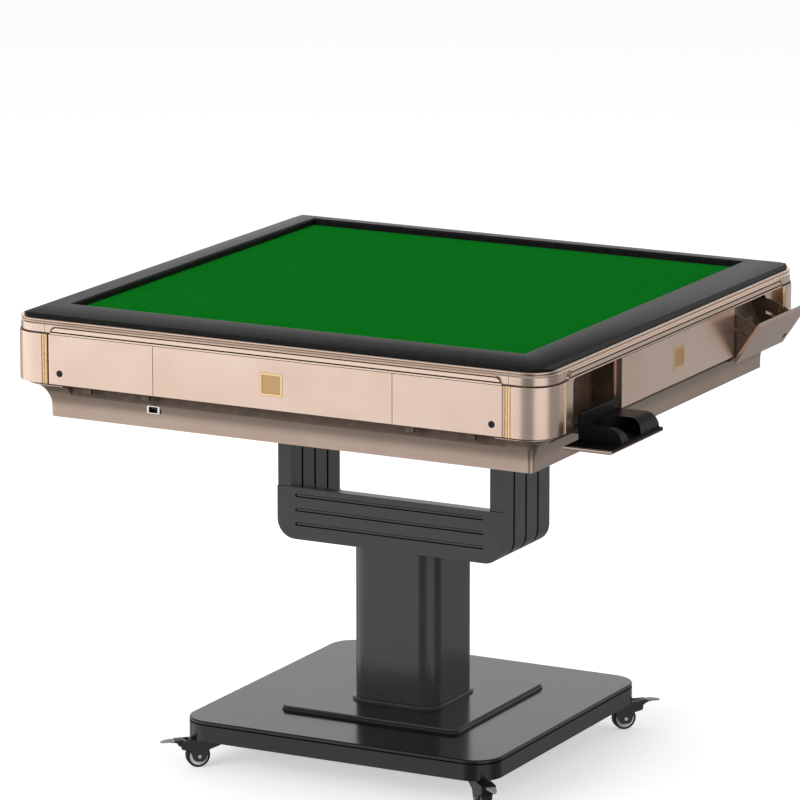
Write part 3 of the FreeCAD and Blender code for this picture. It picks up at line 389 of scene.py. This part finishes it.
# ---------------------------------------------------------------------------------------------
# Frame inside the top.  Folded steel channel is welded and dipped in black enamel; two brackets
# under it turn on the tilt shaft.

# Enamel on hot-rolled steel: thin, satin, with slow patches where it ran.
enamel, tree, shader = finish_named("black_enamel", Roughness=0.4)
tree.links.new(ramp(tree, noise(tree, 14, 4.0), srgb("1A1A1A"), srgb("272727")),
               shader.inputs["Base Color"])
finished("chassis", 0.4, enamel)
finished("tilt_brackets", 0.4, enamel)

# ---------------------------------------------------------------------------------------------
# Lower shell.  One moulding sweeps in below the band with a cove.  It is sprayed with the same
# champagne lacquer as the panels and held to the frame by cross-recess screws from below.

# Acrylic lacquer with fine aluminium flake, sprayed over smooth plastic: it mirrors light softly.
lacquer, tree, shader = finish_named("champagne_flake_lacquer", Metallic=0.9)
flake = noise(tree, 0.9)
tone = add(tree, "ShaderNodeMath", {"operation": "MULTIPLY_ADD"}, i0=flake, i1=0.25,
           i2=noise(tree, 120, 2.0)).outputs[0]
tree.links.new(ramp(tree, tone, srgb("E6CAB8"), srgb("EFD6C6"), 0.45, 0.85),
               shader.inputs["Base Color"])
tree.links.new(ramp(tree, flake, grey(0.20), grey(0.27)), shader.inputs["Roughness"])
relief(tree, shader, flake, 0.04, 0.04)

# The lower shell has the panels' champagne painted darker, as painted shade under the band, and
# duller.
shaded_lacquer, tree, shader = finish_named("champagne_lacquer_painted_shade", Metallic=0.9)
flake = noise(tree, 0.9)
tree.links.new(ramp(tree, noise(tree, 120, 2.0), srgb("B7A192"), srgb("BFAA9C")),
               shader.inputs["Base Color"])
tree.links.new(ramp(tree, flake, grey(0.255), grey(0.27)), shader.inputs["Roughness"])

# Recesses, hinge ears and knuckles get a dull dark brown: painted shade under the band.
shade_brown, tree, shader = finish_named("painted_shade_brown", Roughness=0.6, Specular_IOR_Level=0.2)
tree.links.new(ramp(tree, noise(tree, 14), srgb("5E5147"), srgb("6B5D52")),
               shader.inputs["Base Color"])

RECESS_LEVEL = 657.1
RECESS_BACK = 446.6
# The shell takes the darker champagne and its recesses the dark brown, both painted shade.
shell = finished("lower_pan", 0.5, shaded_lacquer, shade_brown)
second_finish(shell, 1, lambda middle, normal: middle.z > RECESS_LEVEL
              and from_middle(middle) < RECESS_BACK)

# Steel, nickel plated: bright and faintly warm.  It makes the port's bezel, round a black socket.
nickel, tree, shader = finish_named("nickel_plated_steel", Metallic=1.0, Roughness=0.25)
tree.links.new(ramp(tree, noise(tree, 4), srgb("E6E1D8"), srgb("F0ECE4")),
               shader.inputs["Base Color"])
PORT_BACK = -441.5
bezel = finished("usb_port", 0.3, nickel, moulded_black)
second_finish(bezel, 1, lambda middle, normal: middle.y > PORT_BACK)

HEAD_RADIUS, HEAD_HIGH, HEAD_ROUND = 4.2, 2.0, 1.1
CROSS_LONG, CROSS_WIDE, CROSS_HIGH = 4.4, 0.9, 2
SCREW_LINE = 365
LONG_ROW, SHORT_ROW = (-300, 0, 300), (-200, 200)
pan_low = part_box("lower_pan")[0].z
bpy.ops.object.select_all(action="DESELECT")
bpy.ops.mesh.primitive_cylinder_add(vertices=40, radius=HEAD_RADIUS * MM, depth=HEAD_HIGH * MM,
                                    location=(0, 0, pan_low - HEAD_HIGH / 2 * MM))
head = bpy.context.active_object
head.name = "screw_head"
bpy.ops.object.transform_apply(location=True, rotation=True, scale=True)
apply_modifier(head, "BEVEL", width=HEAD_ROUND * MM, segments=4, limit_method="ANGLE")
for turn in (0, math.pi / 2):
    bpy.ops.object.select_all(action="DESELECT")
    bpy.ops.mesh.primitive_cube_add(size=1, location=(0, 0, pan_low - HEAD_HIGH * MM),
                                    rotation=(0, 0, turn),
                                    scale=(CROSS_LONG * MM, CROSS_WIDE * MM, CROSS_HIGH * MM))
    blade = bpy.context.active_object
    apply_modifier(head, "BOOLEAN", operation="DIFFERENCE", object=blade, solver="EXACT")
    bpy.data.objects.remove(blade)
both_lines = (-SCREW_LINE, SCREW_LINE)
spots = [(along, across) for along in LONG_ROW for across in both_lines]
spots += [(across, along) for along in SHORT_ROW for across in both_lines]
heads = []
for x, y in spots:
    one = bpy.data.objects.new("screw", head.data.copy())
    bpy.context.scene.collection.objects.link(one)
    one.data.transform(mathutils.Matrix.Translation((x * MM, y * MM, 0)))
    heads.append(one)
bpy.data.objects.remove(head)
pick(heads[0])
for one in heads:
    one.select_set(True)
bpy.ops.object.join()
screws = bpy.context.active_object
screws.name = "pan_screw_heads"
break_edges(screws, 0)
dress(screws, "top", SLOT_OF["pan_screws"], zinc)
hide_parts("pan_screws")

# ---------------------------------------------------------------------------------------------
# Housings.  A brown moulding behind each side lines the pockets of both folding holders and
# carries the stub pins that they turn on.

# ABS, injection moulded in brown: satin, with slight flow marks from the gate.
moulded_brown, tree, shader = finish_named("brown_moulded_abs", Roughness=0.35)
tree.links.new(ramp(tree, noise(tree, 14, 4.0), srgb("59473A"), srgb("6B5746")),
               shader.inputs["Base Color"])
relief(tree, shader, noise(tree, 0.8, 2.0), 0.05, 0.12)
EAR_LEVEL = 668
# Each housing's ears, below EAR_LEVEL, take the dark brown: painted shade under the band.
for side in ("front", "right", "rear", "left"):
    housing = finished(f"apron_{side}", 0.3, moulded_brown, shade_brown)
    second_finish(housing, 1, lambda middle, normal: middle.z < EAR_LEVEL)

# ---------------------------------------------------------------------------------------------
# Band.  Lacquered middle panels and rounded corner casings, with a bright double-bead strip at
# each joint and a plain square badge let into the middle of each side.

finished("centre_panels", 0.5, lacquer)
finished("corner_posts", 0.5, lacquer)

# Aluminium, polished and anodised gold: warm, smooth and bright.
gold, tree, shader = finish_named("gold_anodised_aluminium", Metallic=1.0)
smear = noise(tree, 6)
tree.links.new(ramp(tree, smear, srgb("EEC893"), srgb("F8DBAE")), shader.inputs["Base Color"])
tree.links.new(ramp(tree, smear, grey(0.14), grey(0.22)), shader.inputs["Roughness"])
finished("corner_strips", 0.2, gold)

# The field inside the badge's border is blasted before it is dyed, so it is darker and matt.
blasted_gold, tree, shader = finish_named("blasted_gold_aluminium", Metallic=1.0, Roughness=0.42)
tree.links.new(ramp(tree, noise(tree, 0.7), srgb("D6AE7A"), srgb("E2BD8C")),
               shader.inputs["Base Color"])
relief(tree, shader, noise(tree, 0.6), 0.05, 0.4)
TABLE_HALF = -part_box("centre_panels")[0].y / MM
FIELD_SUNK = (0.2, 1)
badges = finished("badges", 0.5, gold, blasted_gold)
second_finish(badges, 1, lambda middle, normal: from_middle(normal) > SQUARE_ON
              and FIELD_SUNK[0] < TABLE_HALF - from_middle(middle) < FIELD_SUNK[1])

# ---------------------------------------------------------------------------------------------
# Lip.  A hollowed aluminium moulding holds the rim.  It runs round the top in straight lengths and
# corner pieces that butt at eight joints, with a flat bar raised on each side.  A dark brown strip
# under it, painted shade for the shadow gap, shows as a dark line between it and the band.

LIP_JOINT = 418.0
SLIT_WIDE = 0.7
SLIT_THROUGH = 6.6
SLIT_HIGH = 40
SLIT_LEVEL = 10
BAR_DEEP = 3
LOW_BORDER = 2.6
BAR_BORDER = 0.6
BAR_LIFT = 0.86
OUTLINE_WIDE = 2.3

# Aluminium, brushed lightly along its length and anodised champagne.
brushed_lip, tree, shader = finish_named("champagne_anodised_aluminium", Metallic=1.0)
streak = noise(tree, 3, 4.0)
tree.links.new(ramp(tree, streak, srgb("DEC6B4"), srgb("E4CDBC")), shader.inputs["Base Color"])
tree.links.new(ramp(tree, streak, grey(0.17), grey(0.19)), shader.inputs["Roughness"])

# The bars and thin strips at their top and foot get a lighter champagne: painted highlight.
painted_highlight_bar, tree, shader = finish_named("champagne_aluminium_painted_highlight", Metallic=1.0)
streak = noise(tree, 3, 4.0)
tree.links.new(ramp(tree, streak, srgb("E6CCB8"), srgb("F0D8C6")), shader.inputs["Base Color"])
tree.links.new(ramp(tree, streak, grey(0.16), grey(0.22)), shader.inputs["Roughness"])

# Dark brown: painted shade for the gaps under the lip and round each bar; it also lines the joints.
shade_and_joint_brown, tree, shader = finish_named("painted_shade_and_joint_brown", Roughness=0.6)
tree.links.new(ramp(tree, noise(tree, 6), srgb("36251C"), srgb("422F25")),
               shader.inputs["Base Color"])


lip_low, lip_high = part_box("lip_rails")
lip = merged_copy("lip_rails", "lip_mitred")
bar_out = lip_high.x / MM
bar_top = max(face.center.z for face in lip.data.polygons if face.normal.z > 0.9 and
              bar_out - BAR_DEEP < -face.center.y / MM < bar_out) / MM


def on_bar_face(middle, normal):
    """Whether a face lies on the flat front of one of the four bars."""
    return (from_middle(normal) > 0.99 and abs(from_middle(middle) - bar_out) < NEAR / 2
            and min(abs(middle.x), abs(middle.y)) < 5)


choose_faces(lip, on_bar_face)
bpy.ops.mesh.inset(thickness=BAR_BORDER * MM)
bpy.ops.transform.resize(value=(1, 1, BAR_LIFT), center_override=(0, 0, bar_top * MM))
bpy.ops.mesh.inset(thickness=OUTLINE_WIDE * MM)
bpy.ops.object.mode_set(mode="OBJECT")
inner_bars = {face.index for face in lip.data.polygons if face.select}
break_edges(lip, 0)
dress(lip, "top", SLOT_OF["lip_rails"], brushed_lip, shade_and_joint_brown, painted_highlight_bar)
# Each bar: a dark brown outline as painted shade, its face and edge strips lighter as painted
# highlight.
for face in lip.data.polygons:
    middle = face.center / MM
    if from_middle(middle) > bar_out - NEAR / 2:
        on_border = middle.z > bar_top - BAR_BORDER or middle.z < lip_low.z / MM + LOW_BORDER
        face.material_index = 2 if on_border or face.index in inner_bars else 1
slits = []
for x, y, turn in ((LIP_JOINT, -bar_out, 0), (-LIP_JOINT, -bar_out, 0), (LIP_JOINT, bar_out, 0),
                   (-LIP_JOINT, bar_out, 0), (bar_out, LIP_JOINT, 1), (bar_out, -LIP_JOINT, 1),
                   (-bar_out, LIP_JOINT, 1), (-bar_out, -LIP_JOINT, 1)):
    bpy.ops.object.select_all(action="DESELECT")
    bpy.ops.mesh.primitive_cube_add(size=1, rotation=(0, 0, turn * math.pi / 2),
                                    location=(x * MM, y * MM, lip_low.z + SLIT_LEVEL * MM),
                                    scale=(SLIT_WIDE * MM, SLIT_THROUGH * MM, SLIT_HIGH * MM))
    slits.append(bpy.context.active_object)
pick(slits[0])
for slit in slits:
    slit.select_set(True)
bpy.ops.object.join()
slit = bpy.context.active_object
slit.data.materials.append(shade_and_joint_brown)
apply_modifier(lip, "BOOLEAN", operation="DIFFERENCE", object=slit, solver="EXACT")
bpy.data.objects.remove(slit)
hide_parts("lip_rails")

BAR_PROUD = 2.5
SHADE_STRIP_HIGH = 2.4
SHADE_STRIP_PROUD = 0.9
SHADE_STRIP_TUCKED = 1
SHADE_STRIP_CORNER = 46
SHADE_STRIP_GAP = 0.05
shade_strip_half = lip_high.x - BAR_PROUD * MM + SHADE_STRIP_PROUD * MM
# The dark brown strip under the lip is painted shade for the shadow gap.
bpy.ops.object.select_all(action="DESELECT")
bpy.ops.mesh.primitive_plane_add(size=shade_strip_half * 2, location=(0, 0, lip_low.z + SHADE_STRIP_GAP * MM))
shade_strip = bpy.context.active_object
shade_strip.name = "lip_shade_strip"
bpy.ops.object.transform_apply(location=True, rotation=True, scale=True)
bpy.ops.object.mode_set(mode="EDIT")
bpy.ops.mesh.select_all(action="SELECT")
bpy.ops.mesh.bevel(offset=SHADE_STRIP_CORNER * MM, segments=16, affect="VERTICES")
bpy.ops.mesh.select_all(action="SELECT")
bpy.ops.mesh.inset(thickness=(SHADE_STRIP_PROUD + SHADE_STRIP_TUCKED) * MM)
bpy.ops.mesh.delete(type="FACE")
bpy.ops.mesh.select_all(action="SELECT")
bpy.ops.mesh.extrude_region_move(TRANSFORM_OT_translate={"value": (0, 0, SHADE_STRIP_HIGH * MM)})
bpy.ops.mesh.select_all(action="SELECT")
bpy.ops.mesh.normals_make_consistent(inside=False)
bpy.ops.object.mode_set(mode="OBJECT")
break_edges(shade_strip, 0.3)
dress(shade_strip, "top", SLOT_OF["lip_rails"], shade_and_joint_brown)

# ---------------------------------------------------------------------------------------------
# Rim round the field.  It is moulded in black plastic with a fine matt grain and crowned across its
# width, and the lip moulding round it holds it.

# ABS, moulded matt: the grain breaks up the light, so that only the crown shows a soft band.
matt_rim, tree, shader = finish_named("matt_black_abs", Specular_IOR_Level=0.08)
tree.links.new(ramp(tree, noise(tree, 9, 4.0), srgb("121211"), srgb("1B1B1A")),
               shader.inputs["Base Color"])
grain = noise(tree, 1.2)
tree.links.new(ramp(tree, grain, grey(0.30), grey(0.38)), shader.inputs["Roughness"])
relief(tree, shader, grain, 0.05, 0.1)
finished("top_rim", 0.3, matt_rim)

# ---------------------------------------------------------------------------------------------
# Playing field.  Pressed green felt is cut to the board and glued down flat.  Its cut edge is
# soft, so the sheet is rolled off a little all round.

# Fibreboard, pressed and sawn.
fibreboard, tree, shader = finish_named("fibreboard", Roughness=0.85)
tree.links.new(ramp(tree, noise(tree, 3, 5.0), srgb("7A5F3E"), srgb("A98759")),
               shader.inputs["Base Color"])
finished("playing_board", 0.5, fibreboard)

felt_low, felt_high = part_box("playing_felt")
felt_side = felt_high.x - felt_low.x
felt_thick = felt_high.z - felt_low.z
FELT_SQUARES = 96
FELT_ROLL = 0.5
bpy.ops.object.select_all(action="DESELECT")
bpy.ops.mesh.primitive_grid_add(x_subdivisions=FELT_SQUARES, y_subdivisions=FELT_SQUARES,
                                size=felt_side, location=(0, 0, felt_low.z))
felt = bpy.context.active_object
felt.name = "green_felt_sheet"
bpy.ops.object.transform_apply(location=True, rotation=True, scale=True)
bpy.ops.object.mode_set(mode="EDIT")
bpy.ops.mesh.select_all(action="SELECT")
bpy.ops.mesh.extrude_region_move(TRANSFORM_OT_translate={"value": (0, 0, felt_thick)})
bpy.ops.mesh.select_all(action="SELECT")
bpy.ops.mesh.normals_make_consistent(inside=False)
bpy.ops.object.mode_set(mode="OBJECT")
apply_modifier(felt, "BEVEL", width=FELT_ROLL * MM, segments=3, limit_method="ANGLE")
bpy.ops.object.shade_smooth_by_angle(angle=math.radians(40))

# Wool felt, pressed and sheared: deep green, its short fibres lie every way and scatter no gloss.
# The fibres are drawn 1.6 mm long, about five times too coarse, so that they show.
wool, tree, shader = finish_named("pressed_wool_felt", Roughness=1.0, Specular_IOR_Level=0.0)
fibre = noise(tree, 1.6, 6.0)
tone = add(tree, "ShaderNodeMath", {"operation": "MULTIPLY_ADD"}, i0=noise(tree, 60), i1=0.35,
           i2=fibre).outputs[0]
tree.links.new(ramp(tree, tone, srgb("0A6118"), srgb("0D6C1D"), 0.45, 0.9),
               shader.inputs["Base Color"])
relief(tree, shader, fibre, 0.25, 0.3)
dress(felt, "top", "green_felt", wool)
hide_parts("playing_felt")

# ---------------------------------------------------------------------------------------------
# Folding holders.  A lacquered face backs onto a black cup tray or a brown chip bin.  Each face
# has a rubber stop button pressed into a round sink, near its outer lower corner.

HINGE_OUT, HINGE_LEVEL = 467, 670
HINGE = mathutils.Vector((0, -HINGE_OUT * MM, HINGE_LEVEL * MM))
OPEN_AT_REST = {("cup", "right"): 90, ("chip", "right"): 34}
TURN_OF = {"front": 0, "right": 90, "rear": 180, "left": 270}
BUTTON_OUT, BUTTON_LEVEL, BUTTON_RADIUS = 390, 698.75, 5.5
SINK_GAP, SINK_DEEP, BUTTON_BELOW = 0.35, 1.2, 0.2
EAR_ROUND = 13


def drum(radius, near, far):
    """A round drum square to the front face, near and far measured in from it."""
    bpy.ops.object.select_all(action="DESELECT")
    bpy.ops.mesh.primitive_cylinder_add(
        vertices=36, radius=radius * MM, depth=(far - near) * MM, rotation=(math.pi / 2, 0, 0),
        location=(0, ((near + far) / 2 - TABLE_HALF) * MM, BUTTON_LEVEL * MM))
    bpy.ops.object.transform_apply(location=True, rotation=True, scale=True)
    return bpy.context.active_object


def set_in_place(model, name, kind, side):
    """Copy a drum to the button's place on one holder, as the holder stands at rest."""
    one = bpy.data.objects.new(name, model.data.copy())
    bpy.context.scene.collection.objects.link(one)
    opened = math.radians(OPEN_AT_REST.get((kind, side), 0))
    out = BUTTON_OUT if kind == "chip" else -BUTTON_OUT
    one.data.transform(mathutils.Matrix.Rotation(math.radians(TURN_OF[side]), 4, "Z")
                       @ mathutils.Matrix.Translation(HINGE)
                       @ mathutils.Matrix.Rotation(opened, 4, "X")
                       @ mathutils.Matrix.Translation(-HINGE)
                       @ mathutils.Matrix.Translation((out * MM, 0, 0)))
    return one


# ABS, moulded in deep black and left dull from the mould.
tray_black, tree, shader = finish_named("deep_black_abs", Roughness=0.42, Specular_IOR_Level=0.15)
tree.links.new(ramp(tree, noise(tree, 12), srgb("060606"), srgb("0B0B0B")),
               shader.inputs["Base Color"])
relief(tree, shader, noise(tree, 0.9), 0.05, 0.15)

sink = drum(BUTTON_RADIUS + SINK_GAP, -1, SINK_DEEP)
button = drum(BUTTON_RADIUS, BUTTON_BELOW, SINK_DEEP)
# Round each hinge the trays and bins take the dark brown: painted shade under the band.
for side in TURN_OF:
    for kind, edge in (("cup", 0.3), ("chip", 0.5)):
        node = f"{kind}_panel_{side}"
        panel = merged_copy(node, node + "_finished")
        cutter = set_in_place(sink, "sink", kind, side)
        apply_modifier(panel, "BOOLEAN", operation="DIFFERENCE", object=cutter, solver="EXACT")
        bpy.data.objects.remove(cutter)
        break_edges(panel, edge)
        dress(panel, f"{kind}_{side}", SLOT_OF[node], lacquer)
        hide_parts(node)
        plug = set_in_place(button, f"stop_button_{kind}_{side}", kind, side)
        break_edges(plug, 0.3)
        dress(plug, f"{kind}_{side}", SLOT_OF[node], rubber)
    for node, edge, moulded in ((f"cup_tray_{side}", 0.8, tray_black),
                                (f"chip_bin_{side}", 0.4, moulded_brown)):
        holder = finished(node, edge, moulded, shade_brown)
        second_finish(holder, 1, lambda middle, normal: EAR_ROUND > math.hypot(
            from_middle(middle) - HINGE_OUT, middle.z - HINGE_LEVEL))
bpy.data.objects.remove(sink)
bpy.data.objects.remove(button)

# ---------------------------------------------------------------------------------------------
# Studio: camera, floor, backdrop and lamps, placed in metres.  Not part of the table.

FRAME_SIZE = 800
FOCAL_PIXELS = 5532.4
CENTRE_PIXEL = 413.2
CAMERA_AZIMUTH = math.radians(27.58)
CAMERA_ELEVATION = math.radians(12.79)
CAMERA_DISTANCE = 9.183
AIM = mathutils.Vector((0, 0, 0.599))
SENSOR = 36.0
FLOOR_SIDE = 60

camera_data = bpy.data.cameras.new("camera")
camera = bpy.data.objects.new("camera", camera_data)
bpy.context.scene.collection.objects.link(camera)
bpy.context.scene.camera = camera
back = mathutils.Vector((math.sin(CAMERA_AZIMUTH) * math.cos(CAMERA_ELEVATION),
                         -math.cos(CAMERA_AZIMUTH) * math.cos(CAMERA_ELEVATION),
                         math.sin(CAMERA_ELEVATION)))
camera.location = AIM + back * CAMERA_DISTANCE
camera.rotation_mode = "QUATERNION"
camera.rotation_quaternion = (-back).to_track_quat("-Z", "Y")
camera_data.sensor_width = SENSOR
camera_data.lens = FOCAL_PIXELS * SENSOR / FRAME_SIZE
camera_data.shift_x = (FRAME_SIZE / 2 - CENTRE_PIXEL) / FRAME_SIZE
bpy.context.scene.view_settings.view_transform = "Standard"

# Floor of matt paper.  Seen straight it glows up to white; mirrored in the table, the studio
# walls show in its place; and the light that it throws up is held back.
bpy.ops.object.select_all(action="DESELECT")
bpy.ops.mesh.primitive_plane_add(size=FLOOR_SIDE, location=(0, 0, -0.5 * MM))
floor = bpy.context.active_object
floor.name = "studio_floor"
paper, tree, shader = finish_named("white_backdrop_paper", Roughness=0.9, Specular_IOR_Level=0.1)
shader.inputs["Base Color"].default_value = srgb("F4F4F4")
path = add(tree, "ShaderNodeLightPath").outputs
glow = add(tree, "ShaderNodeEmission", None, Color=grey(1), Strength=0.45)
lit = add(tree, "ShaderNodeAddShader", None, i0=shader.outputs[0], i1=glow.outputs[0])
held_back = add(tree, "ShaderNodeBsdfDiffuse", None, Color=grey(0.35))
straight = add(tree, "ShaderNodeMixShader", None, Fac=path["Is Camera Ray"],
               i1=held_back.outputs[0], i2=lit.outputs[0])
open_floor = add(tree, "ShaderNodeBsdfTransparent")
mirrored = add(tree, "ShaderNodeMixShader", None, Fac=path["Is Glossy Ray"],
               i1=straight.outputs[0], i2=open_floor.outputs[0])
tree.links.new(mirrored.outputs[0], tree.nodes["Material Output"].inputs["Surface"])
floor.data.materials.append(paper)

# Studio walls, as the table mirrors them.  Above the horizon a white band runs up to a dim
# ceiling; below it soft light and dark stand round the table by turns, and fade underneath.
WALLS = ((-180, 0.50), (-106, 0.45), (-96, 1.25), (-60, 1.25), (-33, 1.14), (-26, 1.04),
         (-13, 0.42), (0, 0.26), (26, 0.28), (38, 0.95), (72, 1.00), (84, 0.80), (95, 0.30),
         (143, 0.30), (152, 0.46), (180, 0.50))
WALL_PEAK = 1.25
STEEPNESS = ((-1.0, 0.22), (-0.7, 0.34), (-0.42, 0.62), (-0.22, 1.0), (0.0, 1.0))
CEILING = ((0.0, 1.15), (0.27, 1.10), (0.36, 0.55), (0.48, 0.14), (0.75, 0.25), (1.0, 0.60))


def many_stops(tree, value, stops):
    """A ramp through several (position, level) stops."""
    node = add(tree, "ShaderNodeValToRGB", None, Fac=value)
    elements = node.color_ramp.elements
    while len(elements) < len(stops):
        elements.new(0.5)
    for element, (position, level) in zip(elements, stops):
        element.position = position
        element.color = grey(level)
    return node.outputs["Color"]


world = bpy.data.worlds.new("studio")
bpy.context.scene.world = world
world.use_nodes = True
tree = world.node_tree
tree.nodes.clear()
way = add(tree, "ShaderNodeSeparateXYZ",
          Vector=add(tree, "ShaderNodeTexCoord").outputs["Generated"]).outputs
turned = add(tree, "ShaderNodeMath", {"operation": "MULTIPLY"}, i0=way["Y"], i1=-1.0).outputs[0]
azimuth = add(tree, "ShaderNodeMath", {"operation": "ARCTAN2"}, i0=way["X"], i1=turned).outputs[0]
round_way = add(tree, "ShaderNodeMath", {"operation": "MULTIPLY_ADD"}, i0=azimuth,
                i1=0.5 / math.pi, i2=0.5).outputs[0]
wall = many_stops(tree, round_way, [((a + 180) / 360, v / WALL_PEAK) for a, v in WALLS])
lowness = add(tree, "ShaderNodeMath", {"operation": "ADD"}, i0=way["Z"], i1=1.0).outputs[0]
fade = many_stops(tree, lowness, [(z + 1, v) for z, v in STEEPNESS])
ring = add(tree, "ShaderNodeMix", {"data_type": "RGBA", "blend_type": "MULTIPLY"}, i0=1.0,
           i6=wall, i7=fade).outputs[2]
walls = add(tree, "ShaderNodeBackground", None, Color=ring, Strength=WALL_PEAK)
white = add(tree, "ShaderNodeBackground", None, Color=grey(1), Strength=1.0)
ceiling = add(tree, "ShaderNodeBackground", None, Strength=WALL_PEAK, Color=many_stops(
    tree, way["Z"], [(z, v / WALL_PEAK) for z, v in CEILING]))
above = add(tree, "ShaderNodeMapRange", None, Value=way["Z"], i1=-0.03, i2=0.05).outputs[0]
mirrored = add(tree, "ShaderNodeMixShader", None, Fac=above, i1=walls.outputs[0],
               i2=ceiling.outputs[0])
fill = add(tree, "ShaderNodeBackground", None, Color=grey(1), Strength=0.55)
path = add(tree, "ShaderNodeLightPath").outputs
soft = add(tree, "ShaderNodeMixShader", None, Fac=path["Is Glossy Ray"], i1=fill.outputs[0],
           i2=mirrored.outputs[0])
clear = add(tree, "ShaderNodeMath", {"operation": "MAXIMUM"}, i0=path["Is Camera Ray"],
            i1=path["Is Transmission Ray"]).outputs[0]
shown = add(tree, "ShaderNodeMixShader", None, Fac=clear, i1=soft.outputs[0], i2=white.outputs[0])
add(tree, "ShaderNodeOutputWorld", None, Surface=shown.outputs[0])


def soft_box(name, place, aim, size, watts):
    """A rectangular soft box that points at a place."""
    data = bpy.data.lights.new(name, "AREA")
    data.shape = "RECTANGLE"
    data.size, data.size_y = size
    data.energy = watts
    lamp = bpy.data.objects.new(name, data)
    lamp.visible_glossy = False
    bpy.context.scene.collection.objects.link(lamp)
    lamp.location = place
    lamp.rotation_mode = "QUATERNION"
    lamp.rotation_quaternion = (mathutils.Vector(aim) - mathutils.Vector(place)).to_track_quat(
        "-Z", "Y")


soft_box("front_box", (-1.6, -4.2, 2.0), (0, 0, 0.6), (3.2, 2.4), 110)
soft_box("top_box", (-0.5, 0.8, 4.2), (0, 0, 0.7), (3.0, 3.0), 60)
soft_box("side_box", (4.2, 0.4, 1.6), (0, 0, 0.6), (1.6, 2.2), 22)
